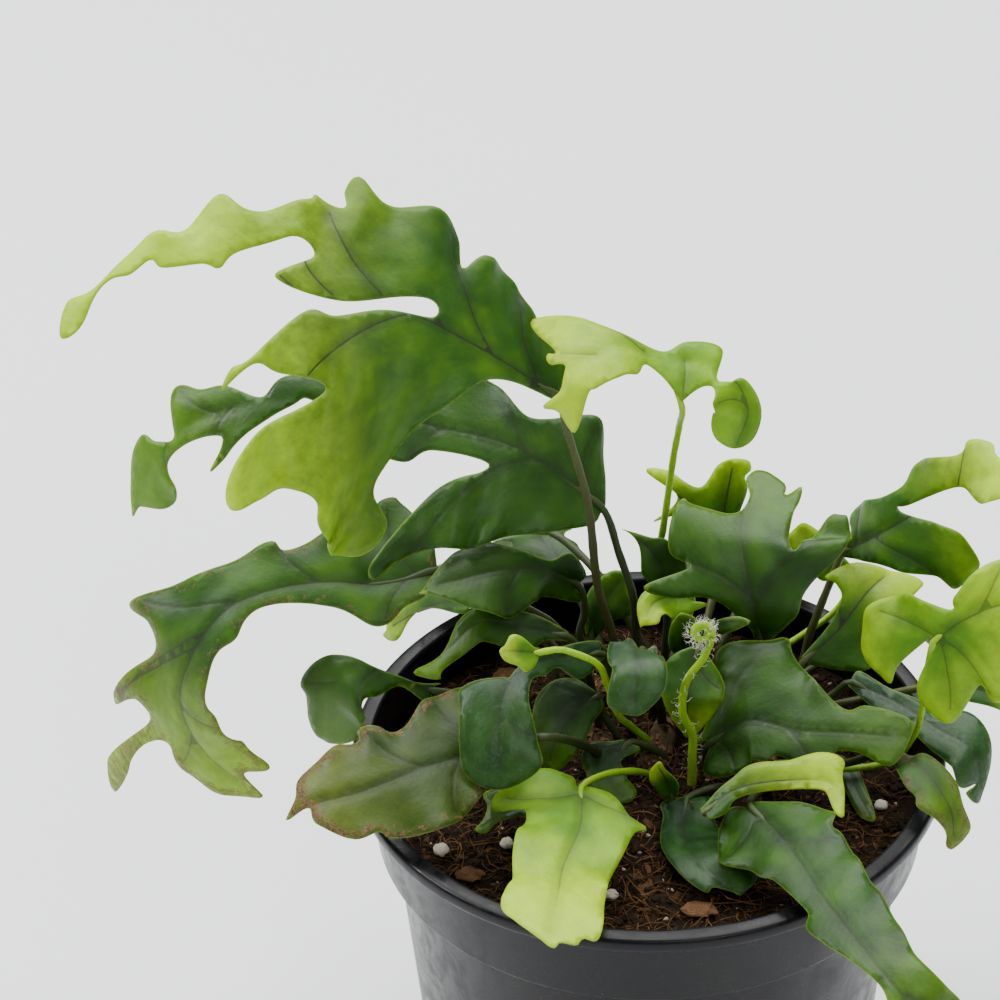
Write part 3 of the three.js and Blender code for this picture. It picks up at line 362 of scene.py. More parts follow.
# %% Layout of the fronds (mm)
fronds = [
    {"name": "frond_tall_left", "tone": "mid",
     "stalk": [(-5, 17, 5), (-7, 16, 25), (-10, 14, 39), (-12, 12, 62), (-16, 10, 81)],
     "midrib": [(-17, 9, 88), (-32, 6, 101), (-46, 3, 111), (-64, 0, 117), (-82, -3, 120), (-99, -6, 118),
                (-108, -8, 112)],
     "face": [(0.45, -0.62, 0.62), (0.1, -0.65, 0.75), (-0.3, -0.6, 0.75)],
     "curl": (0.012, 0.012),
     "right": [(1, 7), (13, 12), (18, 17), (25, 17), (28, 13), (30, 19), (34, 22), (43, 21), (48, 25),
               (50, 22), (50, 18), (55, 20), (57, 18), (67, 15), (72, 18), (78, 11), (84, 11), (94, 4),
               (100, 5)],
     "left": [(17, -6), (29, -30), (22, -38), (23, -46), (30, -48), (45, -44), (48, -39), (56, -37),
              (61, -40), (69, -42), (71, -38), (64, -28), (50, -18), (60, -16), (65, -15), (72, -20),
              (70, -16), (66, -14), (56, -4), (50, -4), (41, -1), (31, 1), (33, 4), (49, -1), (62, 2),
              (55, 7), (59, 10), (69, 6), (72, 3), (75, 4), (82, 4), (84, 6), (88, 4), (92, 4),
              (100, -1)]},
    {"name": "frond_mid_left", "tone": "dark",
     "stalk": [(1, 21, 5), (-2, 21, 17), (-3, 22, 31), (-6, 24, 41)],
     "midrib": [(-9, 25, 51), (-26, 26, 65), (-44, 27, 70), (-63, 28, 75), (-82, 29, 73), (-97, 30, 64),
                (-106, 30, 46)],
     "face": [(0.3, -0.7, 0.7), (0.05, -0.6, 0.8), (-0.4, -0.7, 0.6)],
     "curl": (0.014, 0.012),
     "right": [(4, 7), (11, 15), (22, 7), (29, 12), (34, 12), (44, 8), (56, 6), (70, 5), (75, 1), (82, 5),
               (87, 6), (92, 9), (96, 0), (100, 2), (102, 6), (108, 5)],
     "left": [(2, -6), (20, -21), (34, -24), (40, -28), (43, -33), (44, -29), (37, -13), (28, -7),
              (28, -5), (39, -5), (44, -9), (55, -7), (65, 0), (70, -2), (90, -11), (85, -5), (101, -3),
              (105, -8), (111, -7), (115, -1)]},
    {"name": "frond_long_left", "tone": "mid",
     "stalk": [(-12, 15, 5), (-18, 17, 26), (-30, 14, 37)],
     "midrib": [(-42, 12, 45), (-54, 10, 43), (-63, 8, 45), (-75, 5, 45), (-84, 2, 42), (-91, -1, 33),
                (-94, -3, 23), (-90, -4, 11), (-79, -5, 0)],
     "face": [(0.1, -0.5, 0.85), (-0.3, -0.6, 0.7), (-0.75, -0.6, 0.3)],
     "curl": (0.01, 0.01),
     "right": [(0, 8), (4, 17), (8, 18), (28, 8), (32, 10), (40, 9), (46, 11), (57, 20), (57, 13),
               (62, 10), (72, 23), (69, 12), (74, 13), (80, 34), (83, 41), (81, 28), (77, 15), (77, 8),
               (82, 9), (90, 6)],
     "left": [(4, -5), (8, -6), (13, -9), (20, -6), (37, -3), (46, -6), (54, -5), (74, -9), (91, -9),
              (89, -3)]},
    {"name": "frond_dark_left", "tone": "dark",
     "stalk": [(-4, 25, 5), (-14, 23, 20), (-13, 23, 27)],
     "midrib": [(-14, 22, 34), (-21, 18, 41), (-30, 12, 45), (-38, 7, 46), (-44, 3, 47)],
     "face": [(-0.2, -0.8, 0.6), (-0.1, -0.7, 0.75), (-0.5, -0.5, 0.7)],
     "curl": (0.03, 0.03),
     "right": [(0, 3), (6, 5), (11, 2), (26, 7)],
     "left": [(-3, -3), (14, -7), (24, -10), (39, -2)]},
    {"name": "frond_back_left", "tone": "mid",
     "stalk": [(-14, 25, 5), (-27, 28, 23)],
     "midrib": [(-37, 32, 23), (-46, 37, 18), (-56, 42, 8)],
     "face": [(-0.1, -0.5, 0.85), (-0.1, -0.5, 0.85)],
     "curl": (0.02, 0.02),
     "right": [(5, 3), (12, 3), (21, 3), (26, 2)],
     "left": [(2, -3), (16, 0), (23, -4), (28, -1)]},
    {"name": "frond_over_left_rim", "tone": "dark",
     "stalk": [(-19, 5, 5), (-34, 3, 19)],
     "midrib": [(-43, 1, 23), (-51, 0, 28), (-59, -2, 30), (-64, -2, 25), (-66, -2, 13)],
     "face": [(-0.1, -0.6, 0.8), (-0.5, -0.7, 0.5)],
     "curl": (0.02, 0.02),
     "right": [(-1, 2), (5, 0), (14, 1), (22, 6), (28, 7), (30, 5), (35, 4)],
     "left": [(0, -3), (7, -2), (12, -5), (16, -6), (21, -10), (33, -9)]},
    {"name": "frond_dark_lower_left", "tone": "dark",
     "stalk": [(-9, 1, 5), (-20, -20, 28)],
     "midrib": [(-29, -15, 22), (-39, -21, 23), (-47, -27, 24), (-56, -30, 22), (-64, -31, 20),
                (-70, -31, 16)],
     "face": [(-0.1, -0.5, 0.85), (-0.1, -0.5, 0.85)],
     "curl": (0.012, 0.016),
     "right": [(0, 11), (2, 14), (9, 15), (16, 10), (27, 13), (28, 11), (34, 11), (42, 7), (44, 3)],
     "left": [(6, -5), (8, -9), (18, -13), (28, -11), (30, -9), (34, -9), (41, -4), (42, 0)]},
    {"name": "frond_curled_left", "tone": "dark",
     "stalk": [(-10, 12, 5), (-13, 12, 22)],
     "midrib": [(-16, 10, 30), (-25, 8, 34), (-34, 5, 37), (-39, 2, 34), (-46, 0, 28)],
     "face": [(0, -0.6, 0.8), (-0.4, -0.6, 0.6)],
     "curl": (0.02, 0.03),
     "right": [(9, 3), (21, 3), (30, 0), (36, 1)],
     "left": [(5, -2), (10, -5), (30, -3), (33, -4)]},
    {"name": "frond_front_glossy", "tone": "dark",
     "stalk": [(-3, 9, 5), (-7, 9, 20)],
     "midrib": [(-9, 7, 28), (-15, 1, 32), (-24, -7, 35), (-28, -15, 34), (-29, -22, 29), (-29, -27, 21)],
     "face": [(0.1, -0.55, 0.8), (-0.2, -0.8, 0.6), (0, -0.95, 0.25)],
     "curl": (0.02, 0.03),
     "right": [(1, 3), (24, 1), (27, 2), (31, 9), (35, 8), (46, 7)],
     "left": [(9, -5), (14, -2), (18, -3), (24, -3), (40, -8), (46, -8)]},
    {"name": "frond_front_lime", "tone": "lime",
     "stalk": [(1, -4, 5), (-8, -14, 14)],
     "midrib": [(-13, -19, 15), (-13, -31, 15), (-16, -43, 15), (-17, -56, 17), (-18, -67, 17)],
     "face": [(0, -0.5, 0.85), (0, -0.75, 0.65)],
     "curl": (0.012, 0.012),
     "right": [(-3, 2), (-5, 8), (1, 18), (6, 16), (8, 11), (19, 11), (30, 9), (40, 10)],
     "left": [(2, -5), (8, -9), (10, -13), (13, -10), (33, -9), (45, -9), (46, -6), (48, -5), (48, -2)]},
    {"name": "leaf_under_lime", "tone": "dark",
     "stalk": [(-10, -4, 5), (-15, -7, 4)],
     "midrib": [(-21, -12, 6), (-26, -15, 6), (-34, -19, 4)],
     "face": [(0, -0.4, 0.9), (0, -0.4, 0.9)],
     "curl": (0.02, 0.02),
     "right": [(3, 4), (10, 6), (11, 3), (13, 1)],
     "left": [(1, -4), (6, -2), (11, -1), (14, -2)]},
    {"name": "young_leaf", "tone": "lime",
     "stalk": [(-1, 6, 5), (0, 5, 7), (-3, 2, 13), (-6, -6, 23), (-8, -8, 32), (-10, -12, 40),
               (-14, -13, 43), (-17, -13, 44)],
     "midrib": [(-21, -14, 44), (-24, -15, 45), (-28, -16, 46)],
     "face": [(0, -0.75, 0.65), (0, -0.75, 0.65)],
     "curl": (0.03, 0.03),
     "right": [(1, 1), (4, 3), (6, 3), (7, 1)],
     "left": [(1, -3), (3, -4), (4, -3), (7, -2)]},
    {"name": "small_round_dark", "tone": "dark",
     "stalk": [(3, 14, 5), (1, 5, 25)],
     "midrib": [(-1, 1, 34), (-2, -8, 40), (-2, -15, 40), (-3, -20, 34)],
     "face": [(0, -0.5, 0.85), (0, -0.95, 0.3)],
     "curl": (0.04, 0.04),
     "right": [(-22, 5), (10, 6), (17, 5), (25, 5)],
     "left": [(-16, -1), (7, -4), (19, -6), (25, -3)]},
    {"name": "rounded_mid_green", "tone": "mid",
     "stalk": [(7, 12, 5), (11, 6, 27)],
     "midrib": [(10, 4, 32), (9, 1, 28), (8, -3, 24), (8, -1, 13)],
     "face": [(0, -0.7, 0.7), (0, -0.95, 0.3)],
     "curl": (0.03, 0.03),
     "right": [(2, 4), (5, 6), (9, 6), (21, 1)],
     "left": [(5, -6), (8, -7), (14, -6), (21, -2)]},
    {"name": "small_round_back", "tone": "dark",
     "stalk": [(8, 19, 5), (9, 15, 17)],
     "midrib": [(9, 13, 22), (8, 10, 29), (7, 9, 36)],
     "face": [(0, -0.9, 0.4), (0, -0.9, 0.4)],
     "curl": (0.03, 0.03),
     "right": [(3, 1), (7, 3), (12, 3), (14, 2)],
     "left": [(1, -2), (6, -4), (12, -3), (15, -1)]},
    {"name": "small_oval_back", "tone": "dark",
     "stalk": [(14, 16, 5), (11, 16, 24)],
     "midrib": [(12, 14, 29), (16, 11, 33), (20, 10, 34)],
     "face": [(0, -0.8, 0.6), (0, -0.8, 0.6)],
     "curl": (0.03, 0.03),
     "right": [(2, 2), (7, 2), (10, 1)],
     "left": [(2, -1), (6, -1), (9, -1)]},
    {"name": "frond_star", "tone": "dark",
     "stalk": [(17, 20, 5), (22, 18, 12)],
     "midrib": [(23, 17, 23), (21, 16, 35), (19, 22, 45), (20, 32, 47), (23, 42, 49)],
     "face": [(-0.1, -1, 0.15), (0, -0.8, 0.5), (0, -0.25, 1)],
     "curl": (0.012, -0.015),
     "right": [(7, 8), (12, 11), (19, 20), (27, 22), (36, 19), (21, 10), (42, 10), (40, 7), (43, 6)],
     "left": [(6, -2), (14, -8), (16, -16), (19, -21), (21, -11), (24, -15), (32, -13), (31, -11),
              (31, -4), (33, -1), (38, 0), (42, -2)]},
    {"name": "frond_curly_back", "tone": "mid",
     "stalk": [(10, 32, 5), (14, 44, 17)],
     "midrib": [(15, 50, 23), (16, 53, 30), (17, 55, 36), (18, 56, 42)],
     "face": [(0, -0.9, 0.4), (0, -0.9, 0.4)],
     "curl": (0.02, 0.02),
     "right": [(13, 4), (17, 3), (19, 4), (21, 3)],
     "left": [(5, -4), (6, -10), (4, -15), (8, -11), (11, -11), (14, -18), (15, -13), (13, -6), (19, -3)]},
    {"name": "frond_behind_star", "tone": "dark",
     "stalk": [(3, 25, 5), (4, 25, 23)],
     "midrib": [(4, 24, 32), (2, 25, 38), (-1, 26, 42), (-5, 26, 45)],
     "face": [(0, -0.9, 0.4), (0, -0.9, 0.4)],
     "curl": (0.03, 0.03),
     "right": [(3, 5), (9, 4), (11, 2), (13, 1)],
     "left": [(2, -3), (6, -4), (12, -1), (15, 0)]},
    {"name": "leaf_bright_under_star", "tone": "lime",
     "stalk": [(9, 23, 5), (8, 23, 22)],
     "midrib": [(9, 20, 33), (5, 20, 33), (1, 16, 34), (-1, 12, 32)],
     "face": [(0, -0.6, 0.8), (-0.3, -0.8, 0.4)],
     "curl": (0.03, 0.03),
     "right": [(1, 2), (9, 3), (13, 2), (16, 0)],
     "left": [(-3, -2), (6, -5), (12, -3), (14, -3)]},
    {"name": "frond_top_young", "tone": "lime",
     "stalk": [(8, 29, 5), (2, 31, 34), (3, 29, 43), (5, 23, 65), (6, 17, 76)],
     "midrib": [(17, 3, 81), (19, 6, 87), (16, 8, 93), (11, 9, 95), (2, 8, 98), (-7, 4, 102),
                (-15, -2, 99), (-15, -6, 91)],
     "face": [(0.6, -0.75, 0.3), (0.3, -0.5, 0.8), (0, -0.4, 0.9), (-0.2, -0.5, 0.85),
              (-0.4, -0.75, 0.5)],
     "curl": (0.02, 0.02), "joint": (24, -9),
     "right": [(18, -4), (13, -7), (2, -7), (-1, -1), (2, 3), (12, 2), (14, -1), (17, -2), (18, 5),
               (24, 4), (29, 1), (39, 5), (46, 17), (48, 6), (49, 7), (50, 5), (49, 2), (53, 1), (56, 5),
               (57, 2)],
     "left": [(32, -3), (36, -6), (48, -6), (60, -2)]},
    {"name": "frond_right_high", "tone": "mid",
     "stalk": [(21, 24, 5), (31, 29, 6), (34, 31, 16), (38, 33, 28)],
     "midrib": [(40, 34, 34), (48, 21, 49), (56, 17, 58), (64, 8, 70), (71, 1, 76)],
     "face": [(-0.4, -0.7, 0.6), (-0.1, -0.7, 0.7), (0.4, -0.6, 0.7)],
     "curl": (0.02, 0.02),
     "right": [(16, 6), (26, 13), (29, 17), (38, 15), (38, 8), (28, 0), (26, -3), (29, -2), (44, 0),
               (51, 5), (61, 5)],
     "left": [(5, -3), (6, -6), (12, -8), (28, -6), (34, -9), (46, -6), (49, -8), (53, -7), (55, -4)]},
    {"name": "frond_light_right", "tone": "mid",
     "stalk": [(21, 15, 5), (29, 17, 12)],
     "midrib": [(32, 18, 18), (39, 22, 23), (45, 27, 29), (50, 33, 30)],
     "face": [(-0.2, -0.8, 0.6), (-0.2, -0.8, 0.6)],
     "curl": (0.012, 0.012),
     "right": [(8, 10), (11, 8), (27, 7), (31, 6)],
     "left": [(14, -3), (17, -6), (17, -9), (23, -6)]},
    {"name": "frond_lime_right", "tone": "lime",
     "stalk": [(25, 0, 5), (41, -2, 6), (49, -2, 8), (53, -4, 16), (54, -9, 28)],
     "midrib": [(55, -11, 45), (61, -13, 52), (69, -15, 57), (78, -17, 56)],
     "face": [(0, -0.65, 0.75), (0.2, -0.7, 0.6)],
     "curl": (0.02, 0.02),
     "right": [(-8, 5), (-10, 10), (-6, 15), (3, 12), (4, 17), (27, 15), (27, 8), (30, 4)],
     "left": [(-10, 0), (-14, 2), (-16, -7), (-10, -13), (-1, -11), (7, -3), (9, -5), (19, -9), (21, -5),
              (27, -4)]},
    {"name": "frond_dark_centre_right", "tone": "dark",
     "stalk": [(12, 3, 5)],
     "midrib": [(12, -2, 12), (20, -3, 19), (30, -6, 19), (40, -8, 20), (51, -12, 22)],
     "face": [(-0.1, -0.5, 0.85), (0, -0.6, 0.8)],
     "curl": (0.012, 0.014),
     "right": [(-3, 5), (4, 9), (16, 8), (19, 6), (25, 8), (28, 7), (29, 4), (34, 4), (41, 6)],
     "left": [(-2, -2), (6, -7), (8, -17), (12, -17), (14, -19), (16, -15), (23, -11), (30, -5), (34, -6),
              (43, -4)]},
    {"name": "frond_bright_narrow", "tone": "mid",
     "stalk": [(16, -10, 5)],
     "midrib": [(11, -28, 16), (17, -21, 16), (27, -18, 16), (36, -19, 16), (38, -26, 14)],
     "face": [(0, -0.5, 0.85), (0, -0.5, 0.85)],
     "curl": (0.03, 0.03),
     "right": [(0, 2), (4, 3), (9, 2), (32, 2)],
     "left": [(9, -2), (14, -4), (21, -4), (28, -6), (30, -2)]},
    {"name": "frond_front_right", "tone": "dark",
     "stalk": [(24, -8, 5)],
     "midrib": [(20, -22, 13), (27, -38, 16), (32, -52, 17), (37, -64, 18), (42, -74, 18), (47, -80, 15),
                (51, -83, 6)],
     "face": [(-0.1, -0.5, 0.85), (0, -0.6, 0.8), (0.3, -0.75, 0.6)],
     "curl": (0.015, 0.02),
     "right": [(-2, 4), (5, 11), (11, 12), (16, 9), (22, 8), (25, 6), (36, 4), (41, 6), (59, 2), (68, 5)],
     "left": [(14, -11), (19, -9), (23, -10), (44, -9), (62, -7), (71, -10), (76, -9), (78, -4)]},
    {"name": "frond_low_front", "tone": "dark",
     "stalk": [(16, -7, 5)],
     "midrib": [(8, -9, 4), (7, -19, 4), (10, -32, 7), (16, -38, 5)],
     "face": [(0, -0.4, 0.9), (0, -0.4, 0.9)],
     "curl": (0.02, 0.02),
     "right": [(3, 5), (7, 4), (16, 5), (29, 4), (30, 2)],
     "left": [(-2, -4), (19, -9), (33, -7), (35, -1)]},
    {"name": "frond_spotted_right", "tone": "dark",
     "stalk": [(24, -5, 5), (41, -6, 11)],
     "midrib": [(48, -8, 16), (54, -17, 18), (59, -24, 14), (60, -27, 7)],
     "face": [(0.1, -0.5, 0.85), (0.5, -0.7, 0.4)],
     "curl": (0.02, 0.02),
     "right": [(11, 5), (15, 5), (18, 6), (25, 2), (28, 2)],
     "left": [(6, -1), (8, -3), (16, -4), (21, -3), (26, -4)]},
    {"name": "frond_bluish_right", "tone": "dark",
     "stalk": [(23, 9, 5), (38, 11, 15)],
     "midrib": [(41, 10, 19), (50, 6, 17), (58, 0, 15), (65, -5, 13), (67, -8, 4)],
     "face": [(0.1, -0.5, 0.85), (0.6, -0.6, 0.4)],
     "curl": (0.02, 0.02),
     "right": [(9, 4), (15, 2), (18, 4), (34, 6), (36, 1), (37, 4)],
     "left": [(1, -3), (8, -2), (14, -3), (19, -2), (24, -7)]},
    {"name": "bud_leaf", "tone": "mid",
     "stalk": [(3, -7, 5)],
     "midrib": [(5, -13, 7), (4, -13, 11), (2, -14, 16)],
     "face": [(0, -0.8, 0.5), (0, -0.8, 0.5)],
     "curl": (0.05, 0.05),
     "right": [(3, 2), (7, 1), (10, 1)],
     "left": [(1, -2), (6, -3), (9, -2)]},
    {"name": "leaf_in_pot_right", "tone": "dark",
     "stalk": [(27, 3, 5)],
     "midrib": [(40, 2, 5), (42, -5, 3), (45, -13, 2)],
     "face": [(0, -0.7, 0.7), (0, -0.7, 0.7)],
     "curl": (0.03, 0.03),
     "right": [(3, 2), (7, 2), (14, 2)],
     "left": [(3, -2), (9, -2), (15, -1)]},
    {"name": "leaf_in_pot_left", "tone": "dark",
     "stalk": [(-4, 4, 5), (-9, 5, 14)],
     "midrib": [(-10, 5, 19), (-15, 2, 17), (-19, -3, 12), (-20, -5, 8)],
     "face": [(0, -0.7, 0.7), (0, -0.7, 0.7)],
     "curl": (0.02, 0.02),
     "right": [(2, 5), (6, 8), (10, 7), (16, 3)],
     "left": [(1, -3), (7, -5), (13, -5), (18, -3)]},
    {"name": "leaf_in_pot_middle", "tone": "dark",
     "stalk": [(3, 3, 5)],
     "midrib": [(-4, 0, 11), (-7, -4, 8), (-7, -8, 6), (-4, -10, 4)],
     "face": [(0, -0.6, 0.8), (0, -0.6, 0.8)],
     "curl": (0.02, 0.02),
     "right": [(2, 3), (5, 7), (8, 5), (11, 4)],
     "left": [(0, -3), (4, -1), (7, -3), (14, -3)]},
    {"name": "leaf_behind_stems", "tone": "dark",
     "stalk": [(-1, 27, 5)],
     "midrib": [(-12, 27, 17), (-10, 28, 24), (-7, 29, 28), (-5, 30, 31)],
     "face": [(0, -0.8, 0.6), (0, -0.8, 0.6)],
     "curl": (0.03, 0.03),
     "right": [(4, 3), (10, 6), (12, 5), (14, 2)],
     "left": [(3, -2), (6, -3), (10, -4), (15, -3)]},
    {"name": "frond_far_right", "tone": "mid",
     "stalk": [(24, 12, 5), (52, 12, 15)],
     "midrib": [(61, 13, 16), (70, 13, 14), (80, 12, 9)],
     "face": [(0.2, -0.5, 0.85), (0.2, -0.5, 0.85)],
     "curl": (0.02, 0.02),
     "right": [(4, 3), (13, 3), (19, 3)],
     "left": [(3, -3), (10, -4), (17, -4)]},
    {"name": "frond_back_stem", "tone": "dark",
     "stalk": [(2, 30, 5), (-9, 38, 23), (-15, 44, 27)],
     "midrib": [(-20, 48, 29), (-27, 52, 30), (-36, 56, 26)],
     "face": [(-0.2, -0.4, 0.9), (-0.2, -0.4, 0.9)],
     "curl": (0.02, 0.02),
     "right": [(4, 1), (11, 2), (17, 2)],
     "left": [(1, -1), (8, -4), (15, -3)]},
    {"name": "leaf_lime_behind", "tone": "lime",
     "stalk": [(16, 28, 5), (30, 35, 10), (40, 38, 17)],
     "midrib": [(42, 38, 23), (37, 39, 29), (31, 38, 37)],
     "face": [(0, -0.9, 0.5), (0, -0.9, 0.5)],
     "curl": (0.02, 0.02),
     "right": [(1, 3), (7, 3), (13, 3), (18, 2)],
     "left": [(3, -2), (5, -4), (13, -4), (18, -3)]},
    {"name": "frond_back_a", "tone": "dark",
     "stalk": [(-8, 29, 5), (-12, 36, 14)],
     "midrib": [(-16, 42, 20), (-23, 54, 24), (-29, 65, 17), (-34, 74, 3)],
     "face": [(0, -0.1, 1), (0, 0.4, 0.9)],
     "curl": (0.02, 0.02),
     "right": [(8, 6), (13, 5), (18, 9), (24, 6), (30, 7), (36, 3)],
     "left": [(12, -9), (17, -6), (23, -8), (29, -5)]},
    {"name": "frond_back_b", "tone": "dark",
     "stalk": [(14, 32, 5), (17, 35, 13)],
     "midrib": [(20, 41, 18), (26, 53, 22), (32, 65, 14), (36, 73, 1)],
     "face": [(0, -0.1, 1), (0, 0.4, 0.9)],
     "curl": (0.02, 0.02),
     "right": [(8, 6), (13, 5), (18, 9), (24, 6), (30, 7), (36, 3)],
     "left": [(12, -9), (17, -6), (23, -8), (29, -5)]},
    {"name": "frond_back_c", "tone": "dark",
     "stalk": [(5, 33, 5), (7, 40, 11)],
     "midrib": [(8, 46, 14), (8, 57, 15), (7, 68, 8), (6, 76, -4)],
     "face": [(0, -0.1, 1), (0, 0.4, 0.9)],
     "curl": (0.02, 0.02),
     "right": [(8, 6), (13, 5), (18, 9), (24, 6), (30, 7)],
     "left": [(12, -9), (17, -6), (23, -8), (29, -5), (35, -4)]},
    {"name": "frond_back_d", "tone": "dark",
     "stalk": [(-19, 24.9, 5), (-21, 30, 13)],
     "midrib": [(-26, 36, 18), (-37, 47, 20), (-48, 57, 13), (-56, 66, -2)],
     "face": [(0, -0.1, 1), (0, 0.4, 0.9)],
     "curl": (0.02, 0.02),
     "right": [(8, 6), (13, 5), (18, 9), (24, 6), (30, 7), (36, 3)],
     "left": [(12, -9), (17, -6), (23, -8), (29, -5)]},
    {"name": "frond_back_e", "tone": "dark",
     "stalk": [(27, 21, 5), (33, 26, 9)],
     "midrib": [(38, 29, 11), (48, 38, 15), (57, 46, 8), (64, 53, -6)],
     "face": [(0, -0.1, 1), (0, 0.4, 0.9)],
     "curl": (0.02, 0.02),
     "right": [(8, 6), (13, 5), (18, 9), (24, 6), (30, 7), (36, 3)],
     "left": [(12, -9), (17, -6), (23, -8), (29, -5)]},
]

# %% Layout of the rootstocks (mm)
rootstocks = {
    "rootstock_back": [(-18, 24, 2), (-9, 27, 2.5), (1, 27, 2.5), (10, 29, 2.5), (18, 27, 2), (26, 23, 1.5)],
    "rootstock_left": [(-14, 16, 2), (-10, 10, 2.5), (-10, 2, 2.5), (-9, -5, 2)],
    "rootstock_middle": [(4, 18, 2), (3, 11, 2.5), (1, 4, 2.5), (2, -5, 2)],
    "rootstock_right": [(19, 16, 2), (23, 9, 2.5), (24, 1, 2.5), (21, -6, 2.5), (15, -9, 2)],
}

# %% [markdown]
# ## The blade of a frond
#
# A real blade is a flat, lobed sheet of leathery tissue, 0.3 to 0.5 mm thick, that has bent and
# waved as it grew. So each is cut out flat, with its lobes and bays, and then laid on a curved
# surface that follows its midrib. Points are also set along the midrib and along one main vein
# into each lobe, so that the dark veins can be drawn sharply, and sunk a little as real ones are.
# The flat cut-out is divided into triangles with those lines kept as edges.

# %% The curved surface that a flat blade is laid on
def layout_points(points):
    """Layout points (mm, heights from the edge of the mix) in metres in the frame."""
    return np.array(points, dtype=float) * MM + [0, 0, mix_edge]


class BladeSurface:
    """A sheet along a midrib that curls down about it.

    At a place x along the midrib C(x), with T its direction, N the upper side's direction and
    B = T x N, a point y out from the midrib at height h is
    C + sin(ky) (1/k + h) B + ((cos(ky) - 1) / k + h cos(ky)) N,
    where the curl k runs evenly from its value at the base to its value at the tip."""

    def __init__(self, frond):
        self.midrib = SmoothLine(layout_points(frond["midrib"]))
        self.length = self.midrib.length
        self.faces = np.array(frond["face"], dtype=float)
        self.curl = np.array(frond["curl"], dtype=float) / MM

    def place(self, x, y, height):
        reached = np.clip(x, 0, self.length)
        share = reached / self.length
        heading = self.midrib.direction(reached)
        centre = self.midrib.at(reached) + heading * (x - reached)[:, None]
        knots = np.linspace(0, 1, len(self.faces))
        face = np.stack([np.interp(share, knots, self.faces[:, k]) for k in range(3)], -1)
        up = unit(face - heading * np.sum(face * heading, axis=1, keepdims=True))
        across = np.cross(heading, up)
        curl = self.curl[0] + (self.curl[1] - self.curl[0]) * share
        angle = curl * y
        sideways = np.sin(angle) * (1 / curl + height)
        rise = (np.cos(angle) - 1) / curl + height * np.cos(angle)
        return centre + across * sideways[:, None] + up * rise[:, None]


# %% The flat outline and the veins of a blade
def even_curve(points, gap, closed=False):
    """The uniform Catmull-Rom curve through flat points, at nearly even gaps."""
    knots = np.array(points, dtype=float)
    padded = np.vstack([knots[:1], knots, knots[-1:]])
    place = np.linspace(0, len(knots) - 1, 24 * (len(knots) - 1) + 1)
    span = np.minimum(place.astype(int), len(knots) - 2)
    share = (place - span)[:, None]
    p0, p1, p2, p3 = (padded[span + k] for k in range(4))
    out, into = (p2 - p0) / 2, (p3 - p1) / 2
    cubic = (2 * (p1 - p2) + out + into) * share ** 3
    curve = p1 + out * share + (3 * (p2 - p1) - 2 * out - into) * share ** 2 + cubic
    reach = np.concatenate([[0], np.cumsum(np.linalg.norm(np.diff(curve, axis=0), axis=1))])
    count = max(int(reach[-1] / gap), 4)
    even = np.linspace(0, reach[-1], count + 1)[: -1 if closed else None]
    return np.stack([np.interp(even, reach, curve[:, k]) for k in range(2)], -1)


def blade_outline(frond, length, gap):
    """Right-hand margin, tip and left-hand margin as one closed loop of points, in mm."""
    joint = frond.get("joint")
    start, end = ([joint], [joint]) if joint else ([(0, 1)], [(0, -1)])
    loop = [*start, *frond["right"], (length + 0.5, 0), *frond["left"][::-1], *end]
    outline = even_curve(loop, gap, closed=bool(joint))
    return outline


def lobe_tips(margin):
    """The points of a margin that stand further out than both their neighbours."""
    return [point for before, point, after in zip(margin, margin[1:], margin[2:])
            if abs(point[1]) > abs(before[1]) and abs(point[1]) >= abs(after[1])]


def blade_veins(frond, length, gap):
    """The midrib, and a main vein that leaves it at a slant into each lobe, in mm.
    A lobe's vein is the curve a, a + 0.6 (t - a) bowed towards the tip, a + 0.84 (t - a), where t
    is the lobe's tip and a is on the midrib, nearer to the base by 0.8 of the lobe's reach."""
    veins = [np.array([(s, 0.0) for s in np.arange(0, 0.94 * length, gap)])]
    if frond.get("joint"):
        foot = np.array(frond["joint"], dtype=float)
        share = np.linspace(0, 1, max(int(abs(foot[1]) / gap), 3))[:, None]
        veins.append(foot * (1 - share) + np.array([foot[0], 0.0]) * share)
    for tip in lobe_tips(frond["right"]) + lobe_tips(frond["left"]):
        if abs(tip[1]) < 7:
            continue
        foot = np.clip(tip[0] - 0.8 * abs(tip[1]), 0.04 * length, 0.9 * length)
        reach = np.array([tip[0] - foot, tip[1]])
        bow = np.array([0.1 * abs(tip[1]), -0.06 * tip[1]])
        count = max(int(0.84 * np.linalg.norm(reach) / gap), 3)
        share = np.linspace(0, 1, count)[:, None]
        veins.append([foot, 0] + 0.84 * reach * share + bow * 4 * share * (1 - share))
    return veins


def inside_loop(loop, points):
    """Which points lie inside a closed loop: those that an odd number of its sides pass above."""
    x, y = points[:, :1], points[:, 1:]
    ahead = np.roll(loop, -1, axis=0)
    spans = (loop[None, :, 1] > y) != (ahead[None, :, 1] > y)
    rise = np.where(ahead[:, 1] == loop[:, 1], 1e-9, ahead[:, 1] - loop[:, 1])
    cross = loop[:, 0] + (y - loop[:, 1]) * (ahead[:, 0] - loop[:, 0]) / rise
    return np.sum(spans & (x < cross), axis=1) % 2 == 1


def kept_run(vein, outline):
    """The first stretch of a vein that lies inside the outline, so that no vein crosses a bay."""
    inside = inside_loop(outline, vein)
    first = int(np.argmax(inside))
    outside = np.flatnonzero(~inside[first:])
    return vein[first:first + outside[0]] if len(outside) else vein[first:]


def distance_to(points, targets):
    """From each point to the nearest of the targets."""
    gaps = np.empty(len(points))
    for start in range(0, len(points), 500):
        part = points[start:start + 500]
        offsets = part[:, None] - targets[None]
        gaps[start:start + 500] = np.sqrt((offsets ** 2).sum(-1).min(1))
    return gaps


